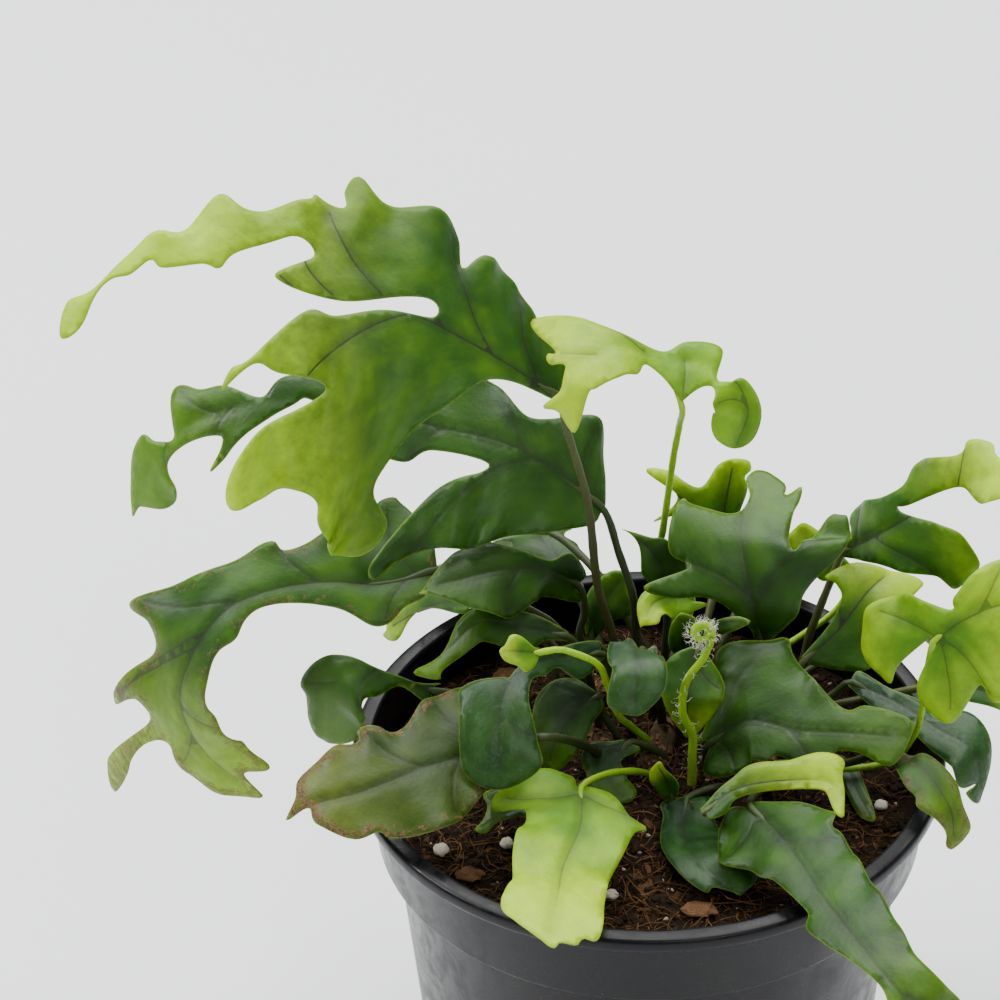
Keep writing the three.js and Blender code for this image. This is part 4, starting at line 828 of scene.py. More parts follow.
def flat_blade(frond, length, gap):
    """The flat cut-out divided into triangles. Gives its points and triangles, each point's
    distance to the margin and to the nearest vein, and the order of the margin's points."""
    outline = blade_outline(frond, length, 0.6 * gap)
    veins = [kept_run(vein, outline) for vein in blade_veins(frond, length, 0.7 * gap)]
    veins = [vein for vein in veins if len(vein) > 1]
    low, high = outline.min(0), outline.max(0)
    rows = np.arange(low[1], high[1], 0.866 * gap)
    columns = np.arange(low[0], high[0], gap)
    x, y = np.meshgrid(columns, rows)
    x = x + np.where(np.arange(len(rows)) % 2, gap / 2, 0)[:, None]
    field = np.stack([x.ravel(), y.ravel()], -1)
    field = field[inside_loop(outline, field)]
    vein_points = np.vstack(veins)
    field = field[distance_to(field, outline) > 0.45 * gap]
    field = field[distance_to(field, vein_points) > 0.5 * gap]
    points = np.vstack([outline, vein_points, field])
    ends = len(outline) + np.cumsum([0] + [len(vein) for vein in veins])
    edges = [(i, i + 1) for start, stop in zip(ends, ends[1:]) for i in range(start, stop - 1)]
    found = delaunay_2d_cdt([Vector(p) for p in points], edges, [list(range(len(outline)))], 1, 1e-4)
    flat = np.array([tuple(v) for v in found[0]])
    triangles = np.array([face for face in found[2] if len(face) == 3])
    dense = np.vstack([even_curve(vein, 0.15) for vein in veins if len(vein) > 1])
    return flat, triangles, distance_to(flat, blade_outline(frond, length, 0.2)), \
        distance_to(flat, dense)


def rim_edges(triangles):
    """The edges that only one triangle has, each in that triangle's direction."""
    edges = np.concatenate([triangles[:, [0, 1]], triangles[:, [1, 2]], triangles[:, [2, 0]]])
    size = triangles.max() + 1
    key = edges[:, 0] * size + edges[:, 1]
    back = edges[:, 1] * size + edges[:, 0]
    return edges[~np.isin(key, back)]


# %% Bending a flat blade into place
blade_gap = 1.25 if fine else 2.6
blade_thickness = 0.42


def waviness(x, y, margin, seed):
    """How far the blade rises from its surface, in mm: broad swells, ripples that grow towards the
    margin, and a shallow groove along the midrib."""
    broad = 1.0 * rough_ground(x / 13, y / 13, seed) * smooth_step(np.abs(y), 0, 6)
    phase = 2 * np.pi * x / (11 + 3 * lattice_value(seed, 1, 2)) + np.where(y > 0, 0, 2.1) + seed
    ripple = 0.9 * np.sin(phase) * smooth_step(np.abs(y), 3, 14) * (1.2 - smooth_step(margin, 0, 9))
    groove = -0.35 * np.exp(-(y / 1.3) ** 2)
    return broad + ripple + groove


def build_blade(frond, seed, material):
    """One blade as a closed thin sheet: an upper side, an under side and the margin between."""
    surface = BladeSurface(frond)
    length = surface.length / MM
    flat, triangles, margin, vein = flat_blade(frond, length, blade_gap)
    x, y = flat[:, 0], flat[:, 1]
    rise = waviness(x, y, margin, seed) - 0.12 * np.exp(-(vein / 0.7) ** 2)
    half = 0.5 * blade_thickness * (0.45 + 0.55 * smooth_step(margin, 0, 1.2))
    upper = surface.place(x * MM, y * MM, (rise + half) * MM)
    under = surface.place(x * MM, y * MM, (rise - half) * MM)
    count = len(flat)
    rim = rim_edges(triangles)
    sides = np.concatenate([np.stack([rim[:, 0], rim[:, 0] + count, rim[:, 1]], -1),
                            np.stack([rim[:, 1], rim[:, 0] + count, rim[:, 1] + count], -1)])
    faces = np.concatenate([triangles, triangles[:, ::-1] + count, sides])[:, ::-1]
    reach = np.hypot(x, y)
    youth = smooth_step(reach / reach.max(), frond.get("green", 0.45), 1.0) * frond["tips"]
    tone = np.full(count, lattice_value(seed, 3, 5))
    place = np.stack([x, y, margin], -1)
    look = np.stack([vein, youth, tone], -1)
    attributes = {"leaf_place": np.vstack([place, place]), "leaf_look": np.vstack([look, look]),
                  "leaf_side": np.repeat([[0.0, 0, 0], [1.0, 0, 0]], count, axis=0)}
    points = np.vstack([upper, under])
    piece = mesh_piece(frond["name"] + "_blade", points, faces, material, attributes)
    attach(piece, "root")
    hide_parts(frond["name"])
    return piece, surface


# %% [markdown]
# ## The stalk of a frond
#
# A stalk is wiry: about 2 mm thick where it leaves the rootstock, thinner below the blade, and it
# runs on under the blade as a raised midrib that dies away before the tip. It is one tapering tube
# in two stretches, dark brown at its foot and olive green higher up.

# %% Building a stalk
def build_stalk(frond, surface, material, thickness=1.0):
    """A tube from below the top of the mix up to the blade, and on along its under side."""
    points = layout_points(frond["stalk"])
    foot = points[0] - [0, 0, 5 * MM]
    along, out = np.array(frond.get("joint", (0, 0)), dtype=float) * MM
    length = surface.length
    midrib = np.stack([np.arange(max(along, 0) / MM + 2, length / MM, 0.5)] * 2, -1) * [1, 0]
    outside = ~inside_loop(blade_outline(frond, length / MM, 0.5), midrib)
    stop = min(0.62 * length, (midrib[np.argmax(outside), 0] - 4) * MM if outside.any() else length)
    ends = along + np.linspace(0, 1, 9) * max(stop - along, 3 * MM)
    outs = out * np.clip(1 - 3 * np.linspace(0, 1, 9), 0, 1)
    depths = np.interp(np.linspace(0, 1, 9), [0, 0.15, 1], [-0.3, -0.95, -0.75]) * MM
    rib = surface.place(ends, outs, depths)
    line = SmoothLine(np.vstack([foot, points, rib]))
    count = max(int(line.length / (1.6 * MM)), 12)
    distance = np.linspace(0, line.length, count)
    share = distance / line.length
    joined = 1 - np.linalg.norm(np.diff(rib, axis=0), axis=1).sum() / line.length
    below = 1.02 - 0.22 * np.clip(share / joined, 0, 1)
    above = 0.68 * (1 - np.clip((share - joined) / (1 - joined), 0, 1)) ** 0.8 + 0.12
    radius = np.where(share < joined, below, above) * thickness * MM
    swells = 1 + 0.05 * np.sin(distance / MM * 0.9 + 7 * lattice_value(len(frond["name"]), 2, 2))
    points, faces = tube_arrays(line.at(distance), radius * swells)
    ring_share = np.concatenate([[0], np.clip(share / joined, 0, 1), [1]])
    look = np.repeat(np.stack([ring_share, 0 * ring_share, 0 * ring_share], -1), 8, axis=0)
    name = frond["name"] + "_stalk"
    piece = mesh_piece(name, points, faces, material, {"stalk_look": look})
    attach(piece, "root")
    return piece

# %% [markdown]
# ## Leaf tissue
#
# A leathery fern blade is glossy above and duller below. Its colour runs from a deep green over the
# old middle to yellow-green where the tissue is young, at the tips and lobes; that yellow-green is
# painted brighter than the tissue's own, as painted glow of light shining through the blade. The veins
# show as thin, nearly black lines with a darker halo, and fade out before the margin. Between them are
# very fine slanting ribs. The margin is a thin pale line, and old blades have brown dead blotches. Some
# blades also carry pale blue-green patches of painted sheen, a painted reflection of the overhead light.
# Light passes through a blade this thin, so some of it is scattered below the surface.

# %% Leaf material
def leaf_material(name, deep, fresh, young_and_glow, gloss=0.4, blotches=0.0, painted_sheen=0.0, veining=0.6):
    """Base colour = a mix of deep and fresh by broad noise, then the young colour towards the tips, times
    fine ribs, with dark veins, a pale margin and brown blotches laid over. The young colour is the
    yellow-green of young tissue, painted brighter as painted glow of light shining through the blade.
    Pale blue-green patches laid over the veins and tone are painted sheen, a painted reflection of light."""
    material, start = new_material(name)
    place = start.node("ShaderNodeAttribute", output="Vector", attribute_name="leaf_place")
    look = start.node("ShaderNodeAttribute", output="Vector", attribute_name="leaf_look")
    under = start.node("ShaderNodeAttribute", output="Vector", attribute_name="leaf_side").parts()[0]
    along, out, margin = place.parts()
    vein, youth, tone = look.parts()
    broad = place.noise(0.09, 3.0)
    cloudy = place.noise(0.33, 4.0, 0.6)
    grain = place.noise(1.7, 4.0, 0.65)
    ribs = ((along - out.abs() * 1.15 + (cloudy - 0.5) * 3.0) * 3.3).sin() * 0.5 + 0.5
    side_ribs = ((along - out.abs() * 1.15 + (broad - 0.5) * 5.0) * 0.95).sin() * 0.5 + 0.5
    mixed = ((broad - 0.5) * 2.4 + (tone - 0.5) * 0.6 + 0.42).clamped()
    green = mixed.mix(deep, fresh)
    ripe = (youth * 1.35 + (cloudy - 0.5) * 0.55 * youth.step(0.0, 0.4) + (broad - 0.5) * 0.3)
    # Towards the tips: the young tissue's yellow-green, painted brighter as painted glow of light shining
    # through.
    green = ripe.clamped().mix(green, young_and_glow)
    shade = 0.94 + 0.03 * ribs + 0.05 * side_ribs * (1.0 - 0.4 * youth) + (cloudy - 0.5) * 0.34
    shade = shade + (grain - 0.5) * 0.14
    shade = shade - 0.3 * (1.0 - vein.step(0.2, 2.6)) * (1.0 - 0.5 * youth)
    shaded = start.vector("SCALE", green)
    start.tree.links.new(shade.socket, shaded.socket.node.inputs["Scale"])
    line = (1.0 - vein.step(0.06, 0.34)) * (1.0 - youth.step(0.4, 0.95)) * veining
    veined = line.mix(shaded, colour(0.018, 0.022, 0.012))
    # Pale blue-green patches laid over the colour: painted sheen, a painted reflection of the overhead
    # light.
    with_painted_sheen = (grain.step(0.35, 0.8) * cloudy.step(0.4, 0.75) * painted_sheen).mix(veined, colour(0.1, 0.19, 0.12))
    edged = ((1.0 - margin.step(0.05, 0.4)) * 0.3).mix(with_painted_sheen, colour(0.26, 0.36, 0.03))
    specks = place.noise(0.55, 5.0, 0.75, 0.4)
    near_margin = 1.0 - margin.step(0.5, 7.0)
    dead = (specks * 0.75 + near_margin * 0.3 + youth * 0.1).step(0.66, 0.74) * blotches
    crisp = (grain.step(0.3, 0.7)).mix(colour(0.055, 0.026, 0.01), colour(0.2, 0.12, 0.05))
    browned = dead.mix(edged, crisp)
    pale = (under * 0.3).mix(browned, colour(0.11, 0.2, 0.03))
    roughness = gloss + 0.14 * cloudy + 0.22 * under + 0.3 * dead + 0.05 * (ribs - 0.5)
    height = 0.12 * ribs + 0.3 * side_ribs + 0.8 * grain + 1.8 * cloudy - 1.2 * (1.0 - vein.step(0.0, 0.8))
    normal = start.bump(height, 0.3, 0.16 * MM)
    finish_material(start, Base_Color=pale, Roughness=roughness, Normal=normal,
                    Subsurface_Weight=0.2, Subsurface_Radius=(0.7, 1.0, 0.1),
                    Subsurface_Scale=1.3 * MM, Specular_IOR_Level=0.3)
    return material


# Each look's third colour is young tissue's yellow-green, painted brighter as painted glow of light through
# the blade.
leaf_looks = {
    "dark": leaf_material("dark_blade", colour(0.006, 0.028, 0.001), colour(0.022, 0.078, 0.001),
                          colour(0.1, 0.22, 0.002), 0.37, veining=0.45),
    # The bluish and olive looks carry patches of painted sheen.
    "bluish": leaf_material("bluish_blade", colour(0.006, 0.032, 0.006), colour(0.016, 0.062, 0.006),
                            colour(0.05, 0.14, 0.004), 0.34, painted_sheen=0.35, veining=0.4),
    "olive": leaf_material("olive_blade", colour(0.012, 0.034, 0.001), colour(0.036, 0.07, 0.002),
                           colour(0.12, 0.15, 0.006), 0.36, blotches=1.0, painted_sheen=0.1, veining=0.4),
    "mid": leaf_material("green_blade", colour(0.018, 0.075, 0.0005), colour(0.042, 0.14, 0.0005),
                         colour(0.36, 0.55, 0.0005), 0.42, veining=0.85),
    "mid_blotched": leaf_material("blotched_blade", colour(0.016, 0.064, 0.0005),
                                  colour(0.04, 0.125, 0.0005), colour(0.22, 0.37, 0.001), 0.4,
                                  blotches=0.6),
    "lime": leaf_material("lime_blade", colour(0.07, 0.2, 0.0005), colour(0.18, 0.37, 0.0005),
                          colour(0.37, 0.55, 0.0005), 0.4, veining=0.5),
}
stage_of_life = {"dark": "dark_frond", "bluish": "dark_frond", "olive": "dark_frond",
                 "mid": "green_frond", "mid_blotched": "green_frond", "lime": "young_frond"}


# %% Stalk material
def stalk_material(name, foot, top):
    """Base colour = foot to top along the stalk, with long streaks and small darker scars."""
    material, start = new_material(name)
    share = start.node("ShaderNodeAttribute", output="Vector", attribute_name="stalk_look").parts()[0]
    place = object_millimetres(start)
    streaks = start.vector("MULTIPLY", place, (1.6, 1.6, 0.16)).noise(1.0, 4.0)
    scars = place.noise(1.4, 3.0).step(0.6, 0.7)
    tinted = (share + (streaks - 0.5) * 0.7).clamped().mix(foot, top)
    marked = (scars * 0.45).mix(tinted, colour(0.03, 0.02, 0.012))
    normal = start.bump(streaks + 0.5 * scars, 0.4, 0.12 * MM)
    finish_material(start, Base_Color=marked, Roughness=0.38 + 0.2 * streaks, Normal=normal,
                    Specular_IOR_Level=0.35)
    return material


stalk_looks = {
    "dark": stalk_material("dark_stalk", colour(0.018, 0.01, 0.006), colour(0.03, 0.05, 0.008)),
    "mid": stalk_material("brown_green_stalk", colour(0.02, 0.011, 0.006), colour(0.07, 0.085, 0.018)),
    "lime": stalk_material("lime_stalk", colour(0.09, 0.22, 0.004), colour(0.3, 0.52, 0.006)),
}


# %% [markdown]
# ## All the fronds
#
# Each frond is made by the same two functions from its layout. What differs besides its shape is
# its age: how yellow its tips are, and which of the leaf looks it has.

# %% Ages and looks of the fronds
own_looks = {
    "frond_dark_lower_left": "olive", "frond_long_left": "mid_blotched",
    "frond_spotted_right": "mid_blotched", "frond_low_front": "bluish",
    "frond_bluish_right": "bluish", "small_round_dark": "bluish", "frond_front_glossy": "bluish",
}
tip_youth = {"dark": 0.35, "bluish": 0.15, "olive": 0.5, "mid": 0.85, "mid_blotched": 0.8, "lime": 1.0}
own_youth = {
    "frond_mid_left": 0.7, "frond_star": 0.3, "frond_dark_left": 0.15, "frond_front_right": 0.55,
    "frond_dark_centre_right": 0.25, "frond_tall_left": 1.0, "frond_bright_narrow": 1.0,
    "frond_spotted_right": 0.35, "frond_curled_left": 0.6, "frond_back_left": 0.4,
}
green_until = {"frond_mid_left": 0.55, "frond_tall_left": 0.3, "frond_long_left": 0.5,
               "frond_front_right": 0.55, "frond_front_lime": 0.2, "frond_lime_right": 0.1,
               "frond_bright_narrow": 0.1}

for number, frond in enumerate(fronds):
    kind = own_looks.get(frond["name"], frond["tone"])
    frond["tips"] = own_youth.get(frond["name"], tip_youth[kind])
    frond["green"] = green_until.get(frond["name"], 0.4)
    slot = stage_of_life[kind]
    blade, surface = build_blade(frond, number + 1, leaf_looks[kind])
    thin = 0.8 if kind == "lime" else 1.0
    build_stalk(frond, surface, stalk_looks[kind if kind in stalk_looks else "dark"], thin)


# %% [markdown]
# ## The crozier
#
# A frond starts as a crozier, coiled like a watch spring. Its stalk is bright green and soft, and
# it and the coil carry loose white hairs. The coil is one tube that winds inward and thins. The hairs
# are short curled threads.

# %% Building the crozier
def hair_arrays(roots, outward, length, radius):
    """Curled hairs as thin three-sided tubes. Hair n runs p + o s + a (1 - cos ws) + b sin ws,
    with a and b two random directions across its outward direction o."""
    count, steps = len(roots), 9
    share = np.linspace(0, 1, steps)
    first = unit(np.cross(outward, rng.normal(size=(count, 3))))
    second = np.cross(outward, first)
    winding = rng.uniform(3, 9, count)[:, None] * share
    curl = rng.uniform(0.1, 0.35, count)[:, None] * length
    lengths = (rng.uniform(0.4, 1.0, count) * length)[:, None]
    path = roots[:, None] + outward[:, None] * (share * lengths)[..., None]
    path = path + first[:, None] * (curl * (1 - np.cos(winding)) * share)[..., None]
    path = path + second[:, None] * (curl * np.sin(winding) * share)[..., None]
    return join_arrays([tube_arrays(line, radius * (1 - 0.7 * share), 3) for line in path])


def coil_arrays(centre, reach, radius):
    """The coil: r(a) = reach (1 - 0.62 a / A), in the X-Z plane, for A of one and three quarter
    turns, in a tube that thins as it winds in."""
    angle = np.linspace(0, 3.5 * np.pi, 60)
    share = angle / angle[-1]
    spread = reach * (1 - 0.62 * share)
    shift = np.stack([np.cos(angle - 0.3) * spread, 0.35 * MM * np.sin(angle),
                      np.sin(angle - 0.3) * spread], -1)
    return tube_arrays(centre + shift, radius * (1 - 0.45 * share), 10)


crozier_centre = layout_points([(10.5, -6, 43)])[0]
crozier_stalk = [(9, -3, -2), (9, -3, 4), (9, -4, 11), (9, -4, 16), (7, -5, 22), (7, -5, 27), (8, -6, 32),
                 (11, -6, 37), (12.6, -6, 42)]
line = SmoothLine(layout_points(crozier_stalk))
distance = np.linspace(0, line.length, 50)
stalk_share = distance / line.length
stalk_arrays = tube_arrays(line.at(distance), (1.05 - 0.35 * stalk_share) * MM, 10)
stalk_colours = np.repeat(np.concatenate([[0.4], 0.4 + 0.5 * stalk_share, [1]])[:, None], 10, 0)
coil = coil_arrays(crozier_centre, 2.0 * MM, 0.8 * MM)
coil_colours = np.ones((len(coil[0]), 1))
points, faces = join_arrays([stalk_arrays, coil])
shares = np.vstack([stalk_colours, coil_colours]) * [1, 0, 0]
crozier = mesh_piece("crozier_coil", points, faces, stalk_looks["lime"],
                     {"stalk_look": shares})
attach(crozier, "root")
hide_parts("crozier")

hair_white, start = new_material("hair")
tint = object_millimetres(start).noise(2.0, 2.0).mix(colour(0.62, 0.6, 0.5), colour(0.85, 0.83, 0.76))
finish_material(start, Base_Color=tint, Roughness=0.6)
hair_count = 150 if fine else 40
outward = unit(rng.normal(size=(hair_count, 3)) * [1, 0.8, 1])
on_coil = crozier_centre + outward * [2.7 * MM, 0.9 * MM, 2.7 * MM]
on_coil_hairs = hair_arrays(on_coil, unit(outward + [0, -0.3, 0.5]), 1.7 * MM, 0.06 * MM)
few = hair_count // 3
spots = rng.uniform(0.15, 1.0, few) * line.length
sideways = unit(rng.normal(size=(few, 3)) * [1, 0.7, 0.3])
on_stalk_hairs = hair_arrays(line.at(spots) + sideways * 0.8 * MM, sideways, 1.9 * MM, 0.05 * MM)
points, faces = join_arrays([on_coil_hairs, on_stalk_hairs])
hairs = mesh_piece("crozier_hairs", points, faces, hair_white, None)
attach(hairs, "root")
print("crozier hairs", hair_count + few)


# %% [markdown]
# ## Rootstocks
#
# The creeping rootstocks lie half out of the mix: thick, brown, and clothed in overlapping papery
# scales. Each is a knobbly tube, with a few hundred small pointed scales laid along it.

# %% Bark-like materials for rootstocks, chips and mix
def earthy_material(name, dark, light, scale, roughness=0.85, stretch=(1, 1, 1), depth=0.5):
    """Base colour = dark to light by two sizes of noise, with a bump from the same noise."""
    material, start = new_material(name)
    place = start.vector("MULTIPLY", object_millimetres(start), stretch)
    coarse = place.noise(scale, 4.0, 0.6)
    small = place.noise(scale * 5, 4.0, 0.7)
    mixed = (coarse * 1.3 + small * 0.9 - 0.62).clamped()
    tinted = mixed.mix(dark, light)
    normal = start.bump(coarse + 0.5 * small, 0.8, depth * MM)
    finish_material(start, Base_Color=tinted, Roughness=roughness - 0.15 * small, Normal=normal,
                    Specular_IOR_Level=0.15)
    return material


rootstock_brown = earthy_material("rootstock_brown", colour(0.02, 0.012, 0.007),
                                  colour(0.13, 0.08, 0.04), 0.5)
scale_brown = earthy_material("scale_brown", colour(0.05, 0.025, 0.012), colour(0.26, 0.15, 0.07), 0.8)


def scale_shape():
    """A pointed scale 1 long, 0.4 wide and a little cupped, as a closed thin wedge."""
    top = [(0, -0.2, 0.0), (0, 0.2, 0.0), (0.55, 0.22, 0.1), (0.55, -0.22, 0.1), (1, 0, 0.05)]
    points = np.array(top + [(x, y, z - 0.05) for x, y, z in top])
    faces = [(0, 3, 2), (0, 2, 1), (3, 4, 2)]
    below = [tuple(i + 5 for i in face[::-1]) for face in faces]
    rim = [(0, 1), (1, 2), (2, 4), (4, 3), (3, 0)]
    sides = [face for a, b in rim for face in ((a, b, b + 5), (a, b + 5, a + 5))]
    return points, np.array(faces + below + sides)


def build_rootstock(name, layout, seed):
    line = SmoothLine(layout_points(layout))
    distance = np.linspace(0, line.length, 70)
    end = np.sqrt(np.clip(1 - (2 * distance / line.length - 1) ** 8, 0, 1))
    knobs = 0.92 + 0.1 * swell(distance / (4 * MM), distance * 0 + seed, seed)
    radius = 3.2 * MM * knobs * np.clip(end, 0.12, 1)
    points, faces = tube_arrays(line.at(distance), radius, 16)
    body = mesh_piece(name + "_body", points, faces, rootstock_brown, None)
    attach(body, "root")
    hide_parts(name)
    count = int(line.length / MM * (9 if fine else 3))
    spots = rng.uniform(0.03, 0.97, count) * line.length
    heading = line.direction(spots)
    angle = rng.uniform(0, 2 * np.pi, count)[:, None]
    side = unit(np.cross(heading, [0.0, 0.0, 1.0]))
    outward = np.cos(angle) * side + np.sin(angle) * np.cross(side, heading)
    reach = np.interp(spots, distance, radius)[:, None]
    tilt = unit(heading + 0.25 * outward + 0.25 * rng.normal(size=(count, 3)))
    across = unit(np.cross(outward, tilt))
    turns = np.stack([tilt, across, np.cross(tilt, across)], -1)
    size = rng.uniform(1.4, 2.6, count)[:, None] * MM * np.ones(3)
    shape = scale_shape()
    points, faces = copies(*shape, line.at(spots) + outward * reach * 0.97, turns, size)
    scales = mesh_piece(name + "_scales", points, faces, scale_brown, None, smooth=False)
    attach(scales, "root")


for seed, (name, layout) in enumerate(rootstocks.items()):
    build_rootstock(name, layout, seed + 3)
print("rootstocks", len(rootstocks))


# %% [markdown]
# ## Potting mix
#
# The mix is peat and coir: a dark crumbly ground with a tangle of fine orange-brown fibres, flakes
# of bark and a few white grains of perlite. The ground is a displaced disc that closes below as the
# pot's filling does. Crumbs, flakes and fibres are scattered over it as many small copies.

# %% Ground of the mix
def ground_height(x, y):
    """The top of the mix: the mound, plus rough ground up to about 1.2 mm high that dies out at
    the wall of the pot, where the mix is pressed."""
    radius = np.hypot(x, y)
    mound = mound_height * np.exp(-((radius / mound_radius) ** 2))
    rough = 1.3 * MM * rough_ground(x / (7 * MM), y / (7 * MM), 5)
    return mix_edge + mound + rough * (1 - 0.5 * smooth_step(radius, 0.9 * mix_radius, mix_radius))


def wall_radius(height):
    """The radius of the mix at a height, inside the pot: the taper of the body, the ledge under
    the collar, and the collar."""
    heights = np.array([mix_low[2], ledge, ledge + 0.2 * MM, mix_edge])
    return np.interp(height, heights, [foot_inside, waist_inside, collar_inside, mix_radius])


ledge = collar_bottom + wall + clearance
collar_inside = collar_radius - collar_taper - wall - clearance
waist_inside = collar_inside - shoulder
foot_inside = base_radius - wall - 0.1 * MM

rings, spokes = (110, 260) if fine else (40, 90)
across = np.linspace(0, 1, rings)[:, None] ** 0.8 * mix_radius
turn = 2 * np.pi * np.arange(spokes)[None, :] / spokes
x, y = across * np.cos(turn), across * np.sin(turn)
top = np.stack([x, y, ground_height(x, y)], -1)
depths = np.array([mix_edge - 1 * MM, ledge + 0.2 * MM, ledge, mix_low[2] + 0.1 * MM])
sides = np.stack([wall_radius(depths)[:, None] * np.cos(turn), wall_radius(depths)[:, None] * np.sin(turn),
                  depths[:, None] + 0 * turn], -1)
bottom = np.stack([0 * turn, 0 * turn, mix_low[2] + 0.1 * MM + 0 * turn], -1)
points = np.concatenate([top, sides, bottom]).reshape(-1, 3)
mix_dark = earthy_material("mix_ground", colour(0.002, 0.0012, 0.0007),
                           colour(0.024, 0.011, 0.0045), 0.6, 0.95)
ground_faces = grid_faces(rings + 5, spokes, wrap=True)[:, ::-1]
ground = mesh_piece("mix_ground", points, ground_faces, mix_dark, None)
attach(ground, "root")
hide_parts("potting_mix")
print("mix ground", len(points), "points")


# %% Crumbs, bark flakes and fibres on the mix
def lump_shape(roughness, seed):
    """An icosahedron about the unit ball, with its corners pushed in and out."""
    golden = (1 + 5 ** 0.5) / 2
    pairs = [(-1, golden), (1, golden), (-1, -golden), (1, -golden)]
    corners = [(a, b, 0) for a, b in pairs] + [(0, a, b) for a, b in pairs] + [(b, 0, a) for a, b in pairs]
    points = unit(np.array(corners)) * (1 + roughness * np.sin(np.arange(12) * 2.4 + seed))[:, None]
    faces = np.array([
        (0, 11, 5), (0, 5, 1), (0, 1, 7), (0, 7, 10), (0, 10, 11), (1, 5, 9), (5, 11, 4), (11, 10, 2),
        (10, 7, 6), (7, 1, 8), (3, 9, 4), (3, 4, 2), (3, 2, 6), (3, 6, 8), (3, 8, 9), (4, 9, 5),
        (2, 4, 11), (6, 2, 10), (8, 6, 7), (9, 8, 1)])
    return points, faces


def spots_on_mix(count, sink):
    """Random even places on the mix, each sunk a little into it."""
    radius = np.sqrt(rng.uniform(0, 1, count)) * (mix_radius - 1.2 * MM)
    angle = rng.uniform(0, 2 * np.pi, count)
    x, y = radius * np.cos(angle), radius * np.sin(angle)
    return np.stack([x, y, ground_height(x, y) - sink], -1)


def scattered(name, shape, count, low, high, tilt, material):
    """Copies of a shape over the mix, with sizes between low and high (mm, along x, y and z)."""
    sizes = rng.uniform(0, 1, (count, 1)) * (np.array(high) - low) + low
    places = spots_on_mix(count, 0.1 * MM)
    points, faces = copies(*shape, places, random_turns(count, tilt), sizes * MM)
    piece = mesh_piece(name, points, faces, material, None, smooth=False)
    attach(piece, "root")
    return piece


amount = 1.0 if fine else 0.25
crumb_brown = earthy_material("crumb_brown", colour(0.003, 0.0018, 0.001), colour(0.04, 0.019, 0.008), 1.1)
flake_brown = earthy_material("flake_brown", colour(0.016, 0.007, 0.003), colour(0.14, 0.068, 0.024), 0.5,
                              0.8, (1, 1, 1), 0.3)
dust_pale = earthy_material("dust_pale", colour(0.25, 0.2, 0.13), colour(0.6, 0.55, 0.42), 0.9)
scattered("mix_crumbs", lump_shape(0.25, 1), int(3600 * amount), (0.35, 0.3, 0.25), (1.5, 1.3, 1.0),
          3.1, crumb_brown)
scattered("mix_flakes", lump_shape(0.3, 4), int(700 * amount), (0.5, 0.3, 0.12), (2.4, 1.1, 0.3),
          0.5, flake_brown)
scattered("mix_specks", lump_shape(0.2, 2), int(160 * amount), (0.25, 0.25, 0.2), (0.7, 0.6, 0.5),
          3.1, dust_pale)


def fibre_arrays(count):
    """Coir fibres: bowed threads that lie on the mix. Thread n runs from p over s along a heading
    h, bowed by b s (1 - s) to one side and by r s (1 - s) upward."""
    steps = 6
    share = np.linspace(0, 1, steps)[None, :, None]
    places = spots_on_mix(count, 0.0)
    heading = unit(rng.normal(size=(count, 3)) * [1, 1, 0.12])[:, None]
    length = rng.gamma(2.2, 1.7, count)[:, None, None] * MM + 1.2 * MM
    side = np.cross(heading, [0, 0, 1.0]) * rng.normal(0, 0.9, (count, 1, 1))
    lift = np.array([0, 0, 1.0]) * rng.uniform(0.1, 0.9, (count, 1, 1))
    path = places[:, None] + heading * (share - 0.5) * length
    path = path + (side + lift) * length * share * (1 - share)
    inside = np.hypot(path[..., 0], path[..., 1]).max(1) < mix_radius - 0.4 * MM
    lowest = ground_height(path[..., 0], path[..., 1])
    path[..., 2] = np.maximum(path[..., 2], lowest + 0.05 * MM)
    thick = rng.uniform(0.06, 0.17, count) * MM
    taper = 1 - 0.5 * np.abs(np.linspace(-1, 1, steps)) ** 3
    return join_arrays([tube_arrays(line, radius * taper, 3)
                        for line, radius, kept in zip(path, thick, inside) if kept])


fibre_brown = earthy_material("fibre_brown", colour(0.02, 0.009, 0.0035), colour(0.26, 0.13, 0.045), 0.35)
points, faces = fibre_arrays(int(2600 * amount))
fibres = mesh_piece("mix_fibres", points, faces, fibre_brown, None)
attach(fibres, "root")
print("mix fibres", len(faces), "faces")


# %% [markdown]
# ## Loose chips and grains
#
# The chips of composted bark and grains of perlite that lie on top are pieces of their own. A chip
# is a torn flake, and a grain is a puffed, pitted lump. Each starts as a ball of many faces, pressed
# to its solid's box and roughened.

# %% Building the loose pieces
def rough_ball(low, high, rough, seed, rows=18, columns=28):
    """A ball pressed to a box, with its radius changed by swell(2 u, 2 v) of its angles."""
    rise = np.linspace(-np.pi / 2, np.pi / 2, rows)[:, None]
    turn = 2 * np.pi * np.arange(columns)[None, :] / columns
    ball = np.stack([np.cos(rise) * np.cos(turn), np.cos(rise) * np.sin(turn), np.sin(rise) + 0 * turn], -1)
    bumps = swell(ball[..., 0] * 2 + ball[..., 2], ball[..., 1] * 2, seed)
    bumps = bumps + 0.5 * swell(ball[..., 0] * 5, ball[..., 1] * 5 + ball[..., 2] * 3, seed + 1)
    size = (1 - rough * (0.5 + 0.5 * bumps))[..., None]
    centre, half = (low + high) / 2, (high - low) / 2
    return (centre + ball * size * half).reshape(-1, 3), grid_faces(rows, columns, wrap=True)


